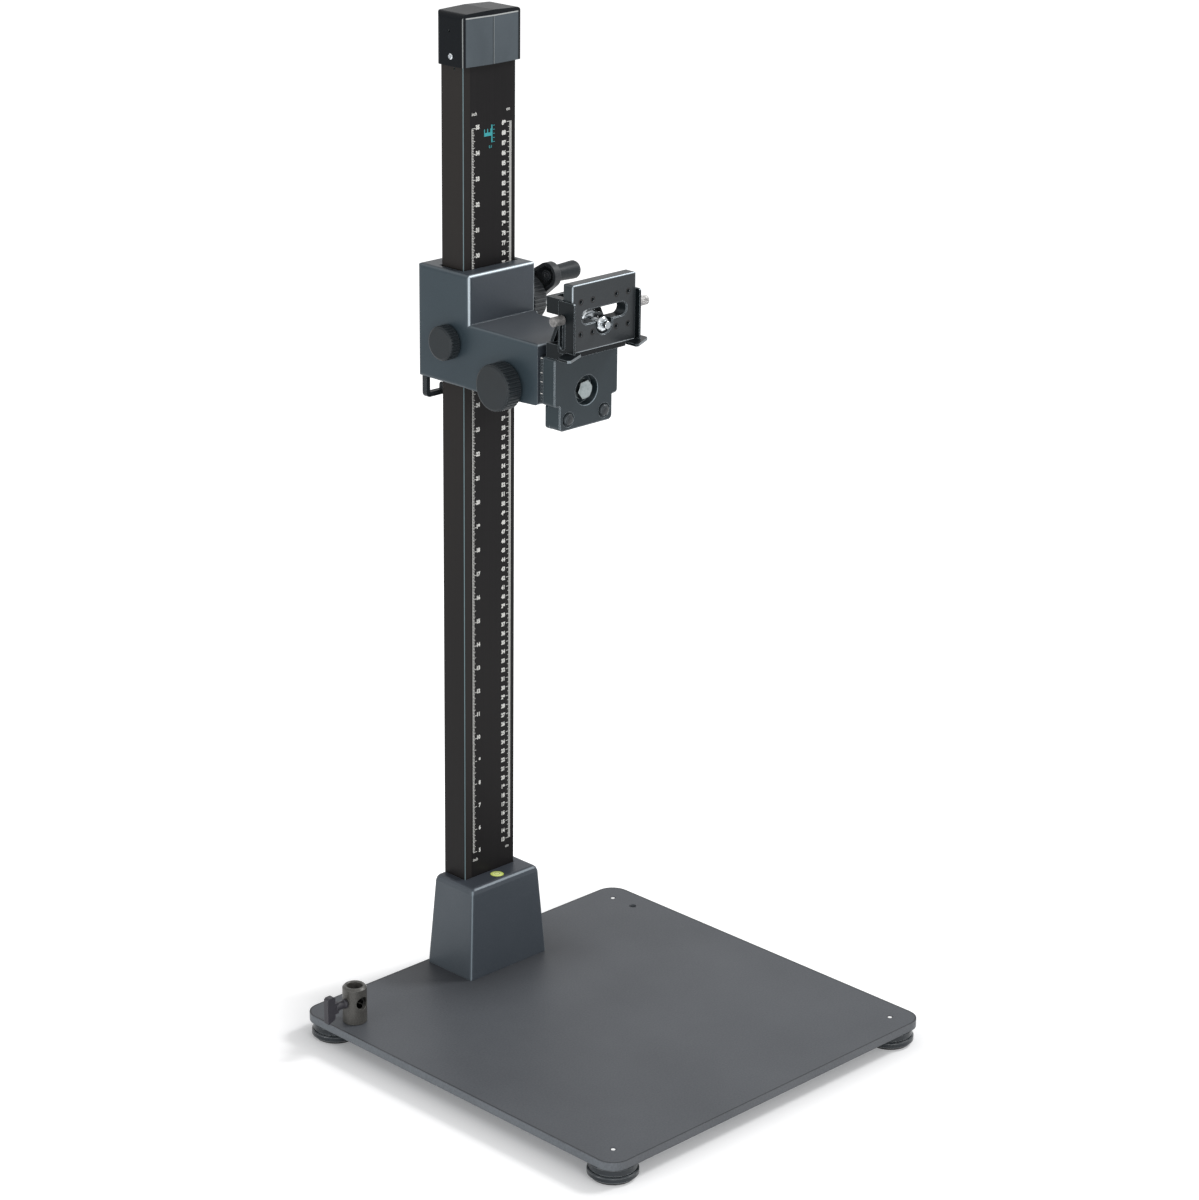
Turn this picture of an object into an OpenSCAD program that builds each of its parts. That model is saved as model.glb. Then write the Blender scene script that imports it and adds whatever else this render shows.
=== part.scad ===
// Copy stand: baseboard, scaled column, crank-driven carriage and swivelling camera mount.
// Millimetres. X is the user's right, Y points to the rear, Z is up. The floor is at Z = 0.

/* [Baseboard] */
// Width of the board
board_w = 450; // [430:1:520]
// Depth of the board, front to back
board_d = 450; // [430:1:520]
// Thickness of the board
board_t = 8.5; // [7:0.5:12]
// Corner radius of the board
board_r = 20; // [8:1:24]

/* [Feet] */
// Diameter of a foot
foot_d = 50; // [40:1:50]
// Height of a foot, floor to board
foot_h = 18.5; // [16:0.5:24]
// Distance of a foot's centre from the board's edges
foot_inset = 25; // [25:1:28]
// Diameter of a foot's threaded stud
stud_d = 6; // [5:0.5:8]

/* [Column] */
// Width of the column
col_w = 70; // [64:1:76]
// Depth of the column
col_d = 32; // [30:1:36]
// Wall of the column
col_wall = 3; // [2:0.5:4]
// Height of the cap's top above the board
col_h = 1000; // [900:5:1200]
// Gap from the column's back to the board's rear edge
col_gap = 8.7; // [6:0.1:14]
// Module of the rack and pinion teeth
gear_m = 1; // [0.9:0.05:1.1]
// Teeth on the pinion
pinion_n = 18; // [18:1:20]
// Width of the rack's groove
rack_w = 12; // [10:0.5:16]

/* [Cap] */
// Height of the cap
cap_h = 51.2; // [40:0.1:60]
// Wall of the cap, which stands proud of the column
cap_wall = 3.5; // [3:0.1:5]
// Bulge of the cap's front at its middle ridge
cap_ridge = 2; // [1:0.1:3]
// Rise of the cap's top at its middle
cap_crown = 1.2; // [0:0.1:3]
// Rounding of the cap's upright rear corners
cap_back_r = 7; // [3:0.5:8]
// Rounding of the cap's two top side edges
cap_side_r = 6.3; // [3:0.1:8]

/* [Pedestal] */
// Width of the pedestal at the board
ped_w = 108.5; // [98:0.5:112]
// Depth of the pedestal at the board
ped_d = 67.6; // [66:0.1:68]
// Height of the pedestal
ped_h = 99.5; // [85:0.5:120]
// Distance from the column's front to the pedestal's front foot
ped_front = 29.8; // [29:0.1:31]
// Diameter of the bubble level
level_d = 15.5; // [12:0.5:17]

/* [Lamp socket] */
// Distance of the socket from the board's side and of its twin hole
socket_x = 24.5; // [24:0.5:30]
// Distance of the socket from the board's rear edge
socket_y = 55; // [54:0.5:70]
// Outer diameter of the socket
socket_d = 25; // [24:0.5:28]
// Height of the socket
socket_h = 40; // [36:1:50]
// Bore of the socket
socket_bore = 16.2; // [15:0.1:17]

/* [Carriage] */
// Height of the carriage's underside above the board
car_rest = 635; // [400:1:700]
// Width of the carriage
car_w = 90; // [88:1:96]
// Height of the carriage
car_h = 115.5; // [112:0.5:130]
// Wall in front of the column
car_front = 18.5; // [16:0.5:24]
// Depth behind the column
car_back = 24.2; // [24:0.1:28]
// Length of the arm in front of the carriage
arm_len = 96.8; // [90:0.1:110]
// Width of the arm
arm_w = 80; // [78:1:84]
// Height of the arm's top above the carriage's underside
arm_top = 65.8; // [60:0.2:72]
// Rise of the arm's underside towards its end
arm_rise = 5; // [0:0.5:6]
// Thickness of the slide liners
liner_t = 1.5; // [1:0.1:2]

/* [Knobs and crank] */
// Diameter of the column clamp knob
clamp_d = 35; // [30:1:38]
// Thickness of the column clamp knob
clamp_t = 13; // [10:0.5:16]
// Diameter of the two large knobs
knob_d = 47; // [42:1:48]
// Thickness of the two large knobs
knob_t = 19; // [14:0.5:20]
// Diameter of a knob's screw
screw_d = 8; // [6:0.5:9]
// Crank radius, shaft to handle
crank_r = 62; // [55:1:80]
// Thickness of the crank arm
crank_t = 8; // [6:0.5:12]
// Radius of the arm's end on the shaft
crank_hub_r = 17; // [14:0.5:20]
// Radius of the arm's end on the grip
crank_boss_r = 13; // [11:0.5:16]
// Rim round the arm's hollow side
crank_wall = 3; // [2:0.5:5]
// Diameter of the crank shaft
shaft_d = 8; // [7:0.5:9]
// Length of the grip
grip_l = 30.5; // [28:0.5:50]
// Diameter of the grip
grip_d = 18.5; // [16:0.5:24]

/* [Swivel head] */
// Height of the swivel axis above the carriage's underside
swivel_h = 17; // [16:0.5:20]
// Diameter of the swivel spindle
spindle_d = 18; // [14:0.5:20]
// Thickness of the index plate
index_t = 5.2; // [4:0.1:7]
// Width of the bracket
brk_w = 86; // [82:1:92]
// Width of the bracket's lower end
brk_low_w = 71.4; // [68:0.2:76]
// Thickness of the bracket
brk_t = 15.7; // [14:0.1:18]
// Diameter of the counterbore for the bolt
cbore_d = 30; // [26:0.5:32]

/* [Camera mount] */
// Width of the camera plate
plate_w = 85.5; // [82:0.5:92]
// Height of the camera plate
plate_h = 67; // [62:0.5:76]
// Thickness of the camera plate
plate_t = 13.5; // [12:0.5:16]
// Height of the plate's centre above the swivel axis
plate_up = 81.4; // [80:0.2:86]
// Gap between the bracket and the camera plate
plate_gap = 10; // [10:0.5:14]
// Length of the camera slot
slot_l = 60; // [54:1:64]
// Height of the camera slot
slot_h = 13; // [12:0.5:14]
// Diameter of the keyhole that opens the slot below its middle
key_d = 21; // [19:0.5:22]
// Drop of the keyhole's centre below the slot's
key_drop = 9.9; // [9:0.1:11]
// Spacing of the small holes
hole_step = 15.9; // [14:0.1:17]
// Thickness of a camera stop
stop_t = 2; // [1.5:0.1:3]
// Height of a camera stop
stop_h = 51.5; // [48:0.5:56]

/* [Hidden] */
$fn = 64;

// Clearances
gap = 0.3;       // between pieces that move past each other
run = 0.05;      // radial, of a shaft in its bore
skin = 0.25;     // round a column in its seat

// Heights and planes of the base and the column
z_board = foot_h + board_t;
y_col = board_d / 2 - col_gap - col_d / 2;
y_front = y_col - col_d / 2;
y_back = y_col + col_d / 2;
z_cap = z_board + col_h - 50;
cap_top_t = 6;
col_top = z_board + col_h - cap_top_t;
y_cap_screw = y_col - 3;
foot_x = board_w / 2 - foot_inset;
foot_y = board_d / 2 - foot_inset;
pad_t = 2.5;

// Bolts of the base, bubble level and lamp socket
bolt_r = 4;
bolt_head_r = 6.8;
sunk = 4.5;
ped_bolt_l = 18;
ped_cy = y_front - ped_front + ped_d / 2;
ped_holes = [for (x = [-1, 1], y = [-1, 1]) [x * (ped_w / 2 - 8.5), ped_cy + y * (ped_d / 2 - 8.5)]];
column_bolt_z = [z_board + 26, z_board + 74];
level_t = 7;
level_wall = 0.6;
y_level = y_front - 11.4;
x_sock = -(board_w / 2 - socket_x);
y_sock = board_d / 2 - socket_y;
z_wing = z_board + 23.5;
wing_d = 6;

// Rack and pinion
pitch = PI * gear_m;
pinion_r = gear_m * pinion_n / 2;
gear_angle = 20;
backlash = 0.12;
rack_base = 1.2;
rack_sink = 0.2;
rack_deep = rack_base + 2.25 * gear_m + rack_sink;
rack_end = 12;

// Carriage
z_car = z_board + car_rest;
y_car = y_front - car_front;
y_carb = y_back + car_back;
car_r = 4;
way = liner_t + gap;
x_car = car_w / 2;
x_way = col_w / 2 + way;
liner_l = 24;
liner_end = 4;
y_arm = y_car - arm_len;
x_arm = arm_w - x_car;
arm_fillet = 20;

// Drive
y_shaft = y_back - rack_sink - gear_m + pinion_r;
z_shaft = z_car + 60;
pinion_t = rack_w - 2;
chamber_w = rack_w + 6;
bush_t = 1.9;
bush_r = shaft_d / 2 + run + bush_t;
bush_l = 12;
cover_w = 46;
cover_h = 58;
cover_t = 2.5;
cover_holes = [for (x = [-1, 1], z = [-1, 1])
    [x * (cover_w / 2 - 4.5), z_shaft + z * (cover_h / 2 - 4.5)]];
x_knobface = x_car + gap;
x_crank = x_car + knob_t + 3;
crank_tilt = 35;
y_grip = y_shaft - crank_r * cos(crank_tilt);
z_grip = z_shaft + crank_r * sin(crank_tilt);

// Knobs and shoes
clamp_y = y_col - 6;
shoe_r = 6.5;
shoe_t = 3;
clamp_z = z_car + liner_end + liner_l + shoe_r + 9.5;
fric_y = y_col - 9;
fric_z = z_car + car_h - liner_end - liner_l - shoe_r - 10;

// Swivel head
z_swivel = z_car + swivel_h;
y_brk = y_arm - index_t - 2 * gap;
y_brkf = y_brk - brk_t;
brk_up = 38;
brk_step = 10.5;
brk_down = 36;
swivel_knob_y = y_arm + 44;
spindle_l = 74;
bolt_d = 10;
bolt_af = 17;
bolt_head = 7;
cbore_deep = 9.5;

// Camera mount
y_plate = y_brkf - plate_gap;
y_platef = y_plate - plate_t;
z_plate = z_swivel + plate_up;
carrier_z = z_swivel + brk_up + 0.3;
carrier_y = y_brk - 3.8;
carrier_bolt_x = 24;
carrier_bolt_l = 24;
web_foot = 23;
carrier_bolts = [for (x = [-1, 1]) [x * carrier_bolt_x, y_brkf + 3.6]];
carrier_reach = carrier_y - y_plate + 7;
block_h = 15;
arm_low = z_plate + 1.4;
arm_hi = z_plate + 17.6;
web_t = 4;
cheek_w = 8;
x_plate = plate_w / 2;
thumb_z = z_plate - 1.1;
thumb_y = y_plate - 2.2;
thumb_out = 10;
thumb_slot = 8;
stop_bottom = z_plate - 34.5;
slot_deep = 26;
cam_d = 6.2;
cam_x = -3.5;
cam_z = z_plate - key_drop;
washer_t = 1.2;
slide_play = 12;
slide_mid = 3.5;
cam_head_d = 24;
cam_head_t = 7;

// The origin is under the middle of the whole object
wing_reach = 41.5;
x_left = x_sock - wing_reach;
origin_x = (min(x_left, -board_w / 2) + board_w / 2) / 2;
origin_y = (max(y_carb, board_d / 2) - board_d / 2) / 2;

module at_origin() {
    translate([-origin_x, -origin_y, 0]) children();
}

// Rounded rectangle about its centre, with true arcs
module rrect(w, d, r) {
    square([w - 2 * r, d], center = true);
    square([w, d - 2 * r], center = true);
    for (x = [-1, 1], y = [-1, 1])
        translate([x * (w / 2 - r), y * (d / 2 - r)]) circle(r);
}

// Block from one corner to the other, its edges along Y rounded by r and the others by e
module rblock(a, b, r, e) {
    s = b - a;
    c = (a + b) / 2;
    translate(c) intersection() {
        translate([0, 0, -s[2] / 2]) linear_extrude(s[2]) rrect(s[0], s[1], e);
        rotate([90, 0, 0]) translate([0, 0, -s[1] / 2]) linear_extrude(s[1]) rrect(s[0], s[2], r);
        rotate([0, 90, 0]) translate([0, 0, -s[0] / 2]) linear_extrude(s[0]) rrect(s[2], s[1], e);
    }
}

// Plain block from one corner to the other
module block(a, b) {
    translate(a) cube(b - a);
}

// Rod along X, Y or Z from a point
module rod_x(x0, x1, y, z, r) {
    translate([x0, y, z]) rotate([0, 90, 0]) cylinder(r = r, h = x1 - x0);
}
module rod_y(y0, y1, x, z, r) {
    translate([x, y1, z]) rotate([90, 0, 0]) cylinder(r = r, h = y1 - y0);
}
module rod_z(z0, z1, x, y, r) {
    translate([x, y, z0]) cylinder(r = r, h = z1 - z0);
}

// Hexagon prism by its width across flats
module hex(af, h) {
    cylinder(r = af / sqrt(3), h = h, $fn = 6);
}

// Turned knob with a grooved rim, from its back face at Z = 0
module knob(d, t, grooves, groove_r) {
    intersection() {
        linear_extrude(t) difference() {
            circle(d = d);
            for (i = [0 : grooves - 1]) rotate(i * 360 / grooves)
                translate([d / 2 + groove_r * 0.35, 0]) circle(groove_r);
        }
        rotate_extrude() polygon([[0, 0], [d / 2 - 2.5, 0], [d / 2, 1.5], [d / 2, t - 2.5],
            [d / 2 - 0.8, t - 0.9], [d / 2 - 2.5, t], [0, t]]);
    }
}

// Pan-head screw, head up, shank below Z = 0
module pan_screw(d, l, head_d, head_h) {
    difference() {
        rotate_extrude() polygon([[0, -l], [d / 2, -l], [d / 2, 0], [head_d / 2, 0],
            [head_d / 2, head_h * 0.55], [head_d * 0.36, head_h], [0, head_h]]);
        translate([0, 0, head_h * 0.5]) linear_extrude(head_h) {
            square([head_d * 0.6, head_d * 0.13], center = true);
            square([head_d * 0.13, head_d * 0.6], center = true);
        }
    }
}

module baseboard() {
    color([0.36, 0.36, 0.37]) at_origin() difference() {
        translate([0, 0, foot_h]) linear_extrude(board_t) rrect(board_w, board_d, board_r);
        for (x = [-foot_x, foot_x], y = [-foot_y, foot_y])
            rod_z(foot_h - 1, z_board + 1, x, y, stud_d / 2 + run);
        for (x = [-1, 1]) rod_z(foot_h - 1, z_board + 1, x * x_sock, y_sock, bolt_r);
        for (p = ped_holes) rod_z(foot_h - 1, z_board + 1, p[0], p[1], bolt_r);
        for (p = ped_holes) rod_z(foot_h - 1, foot_h + sunk, p[0], p[1], bolt_head_r + gap);
        rod_z(foot_h - 1, foot_h + sunk, x_sock, y_sock, bolt_head_r + gap);
    }
}

// Bolt that comes up through the board
module up_bolt(x, y, l) {
    translate([x, y, foot_h + 0.3]) {
        difference() {
            cylinder(r = bolt_head_r, h = sunk - 0.3);
            translate([0, 0, -1]) hex(6, 3.5);
        }
        cylinder(r = bolt_r, h = board_t - 0.3 + l);
    }
}

module pedestal_bolts() {
    color([0.75, 0.76, 0.78]) at_origin()
        for (p = ped_holes) up_bolt(p[0], p[1], ped_bolt_l);
}

module socket_bolt() {
    color([0.75, 0.76, 0.78]) at_origin()
        up_bolt(x_sock, y_sock, 6);
}

// One slab of the pedestal's outline at a height, drawn in from its foot
module ped_slab(h, side, fore, aft) {
    w = ped_w - 2 * side;
    d = ped_d - fore - aft;
    translate([0, ped_cy + (fore - aft) / 2, z_board + h])
        linear_extrude(0.01) rrect(w, d, 3.5, $fn = 32);
}

module pedestal() {
    seat_w = col_w + 2 * skin;
    seat_d = col_d + 2 * skin;
    color([0.27, 0.29, 0.32]) at_origin() difference() {
        hull() {
            ped_slab(0, 0, 0, 0);
            ped_slab(ped_h - 6, 6.6, 4.9, 4.4);
            ped_slab(ped_h - 2.4, 7.8, 6.1, 5.2);
            ped_slab(ped_h - 0.7, 9.6, 7.9, 6.4);
            ped_slab(ped_h - 0.01, 12, 10, 7.6);
        }
        translate([0, y_col, z_board + 8]) linear_extrude(ped_h) square([seat_w, seat_d], center = true);
        rod_z(z_board + ped_h - level_t, z_board + ped_h + 1, 0, y_level, level_d / 2 + 0.02);
        for (p = ped_holes) rod_z(z_board - 1, z_board + ped_bolt_l, p[0], p[1], bolt_r);
        for (z = column_bolt_z) {
            rod_y(ped_cy, y_col + ped_d, 0, z, bolt_r - 1);
            rod_y(y_back + 3, y_col + ped_d, 0, z, 5.5);
        }
    }
}

module column_bolts() {
    color([0.75, 0.76, 0.78]) at_origin() for (z = column_bolt_z)
        translate([0, y_back + 3, z]) rotate([-90, 0, 0]) difference() {
            union() {
                cylinder(r = 5, h = 3);
                translate([0, 0, -3 - col_wall - rack_deep])
                    cylinder(r = bolt_r - 1, h = 4 + rack_deep + col_wall);
            }
            translate([0, 0, 1.2]) hex(4, 3);
        }
}

module level_housing() {
    color([0.09, 0.09, 0.1]) at_origin() translate([0, y_level, z_board + ped_h - level_t])
        rotate_extrude() polygon([[0, 0], [level_d / 2, 0], [level_d / 2, level_t + 0.3],
            [level_d / 2 - level_wall, level_t + 0.3], [level_d / 2 - level_wall, 1.5], [0, 1.5]]);
}

module level_vial() {
    color([0.85, 0.93, 0.35]) at_origin() translate([0, y_level, z_board + ped_h - level_t + 1.5])
        rotate_extrude() polygon([[0, 0], [level_d / 2 - level_wall, 0],
            [level_d / 2 - level_wall, level_t - 1.6], [level_d / 4, level_t - 1.1], [0, level_t - 0.9]]);
}

// Cross-section of the column, with its cavity, rack groove and side grooves
module column_profile() {
    difference() {
        rrect(col_w, col_d, 1.8);
        difference() {
            translate([0, -rack_deep / 2]) rrect(col_w - 2 * col_wall, col_d - 2 * col_wall - rack_deep, 1);
            for (x = [-1, 1]) translate([x * (rack_w / 2 + col_wall / 2), 0])
                square([col_wall, col_d], center = true);
        }
        translate([-rack_w / 2, col_d / 2 - rack_deep]) square([rack_w, rack_deep + 1]);
    }
}

module column() {
    color([0.07, 0.07, 0.075]) at_origin() difference() {
        translate([0, y_col, z_board + 8]) linear_extrude(col_top - z_board - 8) column_profile();
        for (z = column_bolt_z) rod_y(y_col, y_back + 1, 0, z, bolt_r - 1);
        for (x = [-1, 1]) rod_x(min(x * col_w / 2 - 1, x * (col_w / 2 - col_wall - 1)),
            max(x * col_w / 2 + 1, x * (col_w / 2 - col_wall - 1)), y_cap_screw, z_cap + 9.5, 1.6);
        rod_x(-col_w / 2 - 1, -col_w / 2 + col_wall + 1, y_col - 4, z_cap - 2.6, 1.1);
    }
}

// Straight rack teeth, with the gaps set so that the pinion is in mesh at rest
module column_rack() {
    z0 = z_board + ped_h + rack_end;
    z1 = z_cap - rack_end;
    n0 = floor((z_shaft - z0) / pitch);
    n1 = floor((z1 - z_shaft) / pitch);
    root = rack_base;
    tip = rack_base + 2.25 * gear_m;
    line = tip - gear_m;
    half = pitch / 4 + backlash / 2;
    tan_a = tan(gear_angle);
    function wall(y) = half + (y - line) * tan_a;
    teeth = [for (i = [-n0 : n1], p = [[-wall(tip), tip], [-wall(root), root], [wall(root), root],
        [wall(tip), tip]]) [p[1], z_shaft + i * pitch + p[0]]];
    ends = [z_shaft - (n0 + 0.5) * pitch, z_shaft + (n1 + 0.5) * pitch];
    color([0.62, 0.63, 0.65]) at_origin()
        translate([-rack_w / 2 + 0.1, y_back - rack_deep, 0]) rotate([90, 0, 90])
            linear_extrude(rack_w - 0.2)
                polygon(concat([[0, ends[0]], [tip, ends[0]]], teeth, [[tip, ends[1]], [0, ends[1]]]));
}

// Plan of the cap, whose front comes to a low ridge
module cap_plan() {
    w = col_w / 2 + cap_wall;
    d = col_d / 2 + cap_wall;
    f = 2;
    b = cap_back_r;
    polygon([[-w + f, -d], [0, -d - cap_ridge], [w - f, -d], [w, -d + f], [w, d - b], [w - b, d],
        [-w + b, d], [-w, d - b], [-w, -d + f]]);
    for (x = [-1, 1]) {
        translate([x * (w - f), -d + f]) circle(f);
        translate([x * (w - b), d - b]) circle(b);
    }
}

// Front of the cap, with round top corners and a slight crown
module cap_front() {
    w = col_w / 2 + cap_wall;
    r = cap_side_r;
    polygon([[-w, 0], [w, 0], [w, cap_h - r], [w - r, cap_h], [0, cap_h + cap_crown], [-w + r, cap_h],
        [-w, cap_h - r]]);
    for (x = [-1, 1]) translate([x * (w - r), cap_h - r]) circle(r);
}

module column_cap() {
    color([0.05, 0.05, 0.055]) at_origin() difference() {
        intersection() {
            translate([0, y_col, z_cap]) linear_extrude(cap_h + 5) cap_plan();
            translate([0, y_col + col_d, z_cap]) rotate([90, 0, 0]) linear_extrude(2 * col_d) cap_front();
        }
        translate([0, y_col, z_cap - 1]) linear_extrude(col_top - z_cap + 1)
            square([col_w + 2 * skin, col_d + 2 * skin], center = true);
        for (x = [-1, 1]) rod_x(min(0, x * car_w), max(0, x * car_w), y_cap_screw, z_cap + 9.5, 1.6);
        rod_x(-car_w, -col_w / 2 - 1.5, y_col - 0.4, z_cap + 33.5, 1.2);
    }
}

module cap_screws() {
    color([0.8, 0.8, 0.82]) at_origin() for (x = [-1, 1])
        translate([x * (col_w / 2 + cap_wall), y_cap_screw, z_cap + 9.5]) rotate([0, x * 90, 0])
            pan_screw(3.2, 6, 6, 1.8);
}

module foot(x, y) {
    color([0.06, 0.06, 0.065]) at_origin() translate([x, y, 0]) rotate_extrude() polygon([
        [0, pad_t], [foot_d / 2 - 1.6, pad_t], [foot_d / 2, pad_t + 1.6], [foot_d / 2, foot_h * 0.5 - 1],
        [foot_d / 2 - 1, foot_h * 0.5], [foot_d / 2 - 3, foot_h * 0.5], [foot_d / 2 - 3, foot_h * 0.5 + 1.4],
        [foot_d / 2 - 1.5, foot_h * 0.5 + 1.4], [foot_d / 2 - 1.5, foot_h - gap - 2],
        [foot_d / 2 - 3.5, foot_h - gap], [stud_d / 2, foot_h - gap], [stud_d / 2, z_board - 1.2],
        [stud_d / 2 - 0.8, z_board - 0.4], [0, z_board - 0.4]]);
}

module foot_pad(x, y) {
    color([0.04, 0.04, 0.04]) at_origin() translate([x, y, 0]) rotate_extrude()
        polygon([[0, 0], [foot_d / 2 - 4, 0], [foot_d / 2 - 3, 1], [foot_d / 2 - 3, pad_t], [0, pad_t]]);
}

module foot_front_left() { foot(-foot_x, -foot_y); }
module foot_front_right() { foot(foot_x, -foot_y); }
module foot_rear_left() { foot(-foot_x, foot_y); }
module foot_rear_right() { foot(foot_x, foot_y); }
module foot_pad_front_left() { foot_pad(-foot_x, -foot_y); }
module foot_pad_front_right() { foot_pad(foot_x, -foot_y); }
module foot_pad_rear_left() { foot_pad(-foot_x, foot_y); }
module foot_pad_rear_right() { foot_pad(foot_x, foot_y); }

// Lamp post socket: upright bore, cross bore and wing screw
module lamp_socket() {
    r = socket_d / 2;
    color([0.3, 0.3, 0.31]) at_origin() difference() {
        translate([x_sock, y_sock, z_board]) rotate_extrude() polygon([[0, 0], [r - 1, 0], [r, 1],
            [r, socket_h - 2], [r - 2, socket_h], [0, socket_h]]);
        rod_z(z_board + 7, z_board + socket_h + 1, x_sock, y_sock, socket_bore / 2);
        translate([x_sock, y_sock, z_board + socket_h - 0.8])
            cylinder(r1 = socket_bore / 2, r2 = socket_bore / 2 + 0.9, h = 0.9);
        rod_z(z_wing - 7.5, z_wing + 7.5, x_sock, y_sock, socket_bore / 2 + 0.5);
        rod_y(y_sock - socket_d, y_sock + socket_d, x_sock, z_wing, 6.8);
        rod_x(x_sock - socket_d, x_sock, y_sock, z_wing, wing_d / 2 + run);
        rod_z(z_board - 1, z_board + 6, x_sock, y_sock, bolt_r);
    }
}

module socket_wing_screw() {
    x1 = -socket_bore / 2 - gap;
    x2 = -socket_d / 2 - gap;
    x3 = x2 - 11;
    color([0.24, 0.24, 0.25]) at_origin() translate([x_sock, y_sock, z_wing]) {
        rod_x(x3, x1, 0, 0, wing_d / 2);
        translate([x2, 0, 0]) rotate([0, -90, 0]) rotate_extrude()
            polygon([[0, 0], [5, 0], [5, 2], [4.2, 3], [4.2, 13], [0, 13]]);
        translate([x3 - 8, 0, 0]) rotate([90, 0, 0]) translate([0, 0, -3]) linear_extrude(6)
            polygon([[-6.3, -14], [-5.4, -14.8], [-4.4, -14.8], [3, -11.4], [3.7, -10.4], [3.7, -6], [8, -6],
                [8, 6], [3.7, 6], [3.7, 12], [1.7, 13.8], [-4.3, 13.8], [-6.3, 12.2]]);
    }
}

// Carriage and arm as one casting
module arm_plan() {
    cx = x_arm + arm_fillet;
    cy = y_car - arm_fillet;
    difference() {
        polygon([[-x_car, y_car + 6], [-x_car, y_arm], [x_arm, y_arm], [x_arm, cy], [x_car, cy],
            [x_car, y_car + 6]]);
        intersection() {
            translate([cx, cy]) circle(arm_fillet);
            translate([x_arm, y_arm]) square([arm_fillet, arm_len]);
        }
    }
}

module arm_side() {
    r = 3.5;
    y1 = y_car + 8;
    zt = z_car + arm_top;
    zb = z_car + arm_rise;
    polygon([[y_arm, zb + r], [y_arm, zt - r], [y_arm + r, zt], [y1, zt], [y1, z_car],
        [y_car, z_car], [y_arm + r, zb]]);
    translate([y_arm + r, zt - r]) circle(r);
    translate([y_arm + r, zb + r]) circle(r);
}

module arm_body() {
    r = 3.5;
    intersection() {
        translate([0, 0, z_car]) linear_extrude(arm_top) arm_plan();
        translate([-x_car, 0, 0]) rotate([90, 0, 90]) linear_extrude(car_w) arm_side();
        translate([0, y_car + 8, 0]) rotate([90, 0, 0]) linear_extrude(arm_len + 8)
            translate([0, z_car + arm_top / 2]) rrect(car_w, arm_top, r);
    }
}

module carriage_housing() {
    color([0.26, 0.28, 0.31]) at_origin() difference() {
        union() {
            rblock([-x_car, y_car, z_car], [x_car, y_carb, z_car + car_h], car_r, car_r);
            arm_body();
        }
        // Way for the column
        translate([0, y_col, z_car - 1]) linear_extrude(car_h + 2)
            square([2 * x_way, col_d + 2 * way], center = true);
        // Pinion chamber, shaft bores and the seat of the cover
        rod_x(-chamber_w / 2, chamber_w / 2, y_shaft, z_shaft, pinion_r + gear_m + 1.2);
        block([-cover_w / 2 + 10, y_shaft, z_shaft - 15], [cover_w / 2 - 10, y_carb - cover_t, z_shaft + 15]);
        block([-cover_w / 2 - 0.1, y_carb - cover_t, z_shaft - cover_h / 2 - 0.1],
            [cover_w / 2 + 0.1, y_carb + 1, z_shaft + cover_h / 2 + 0.1]);
        for (p = cover_holes) rod_y(y_carb - 10, y_carb, p[0], p[1], 1.6);
        rod_x(-chamber_w / 2 - bush_l, x_car + 1, y_shaft, z_shaft, bush_r);
        // Column clamp and friction setting
        rod_x(-x_car - 1, -x_way + 1, clamp_y, clamp_z, screw_d / 2 + run);
        rod_x(-x_way - shoe_t, -x_way + 1, clamp_y, clamp_z, shoe_r + gap);
        rod_x(x_way - 1, x_car + 1, fric_y, fric_z, screw_d / 2 + run);
        rod_x(x_way - 1, x_way + shoe_t, fric_y, fric_z, shoe_r + gap);
        // Swivel spindle and its clamp
        rod_y(y_arm - 1, y_arm + spindle_l, 0, z_swivel, spindle_d / 2 + run);
        rod_x(-x_car - 1, 0, swivel_knob_y, z_swivel, screw_d / 2 + run);
        rod_x(-spindle_d / 2 - shoe_t - gap, 0, swivel_knob_y, z_swivel, 5 + gap);
    }
}

module drive_cover() {
    color([0.08, 0.08, 0.085]) at_origin() difference() {
        translate([0, y_carb, z_shaft]) rotate([90, 0, 0]) linear_extrude(cover_t) rrect(cover_w, cover_h, 2);
        for (p = cover_holes) rod_y(y_carb - cover_t - 1, y_carb + 1, p[0], p[1], 1.6);
    }
}

module cover_screws() {
    color([0.7, 0.7, 0.72]) at_origin() for (p = cover_holes)
        translate([p[0], y_carb, p[1]]) rotate([-90, 0, 0]) pan_screw(3.2, 9, 6, 1.8);
}

// Plastic liners on the four walls of the way, at the top and the bottom
module slide_liners() {
    l = liner_l;
    m = liner_end;
    yf = y_front - way;
    yb = y_back + way;
    color([0.85, 0.85, 0.8]) at_origin() for (z = [z_car + m, z_car + car_h - m - l]) {
        block([-col_w / 2 + 4, yf, z], [col_w / 2 - 4, yf + liner_t, z + l]);
        for (x = [-1, 1]) translate([x * (rack_w / 2 + 3 + (col_w / 2 - 7 - rack_w / 2) / 2), 0, 0])
            block([-(col_w / 2 - 7 - rack_w / 2) / 2, yb - liner_t, z],
                [(col_w / 2 - 7 - rack_w / 2) / 2, yb, z + l]);
        block([-x_way, y_front + 3, z], [-x_way + liner_t, y_back - 3, z + l]);
        block([x_way - liner_t, y_front + 3, z], [x_way, y_back - 3, z + l]);
    }
}

module ring_x(x0, x1, y, z, ro, ri) {
    translate([x0, y, z]) rotate([0, 90, 0]) rotate_extrude()
        translate([ri, 0]) square([ro - ri, x1 - x0]);
}

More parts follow.
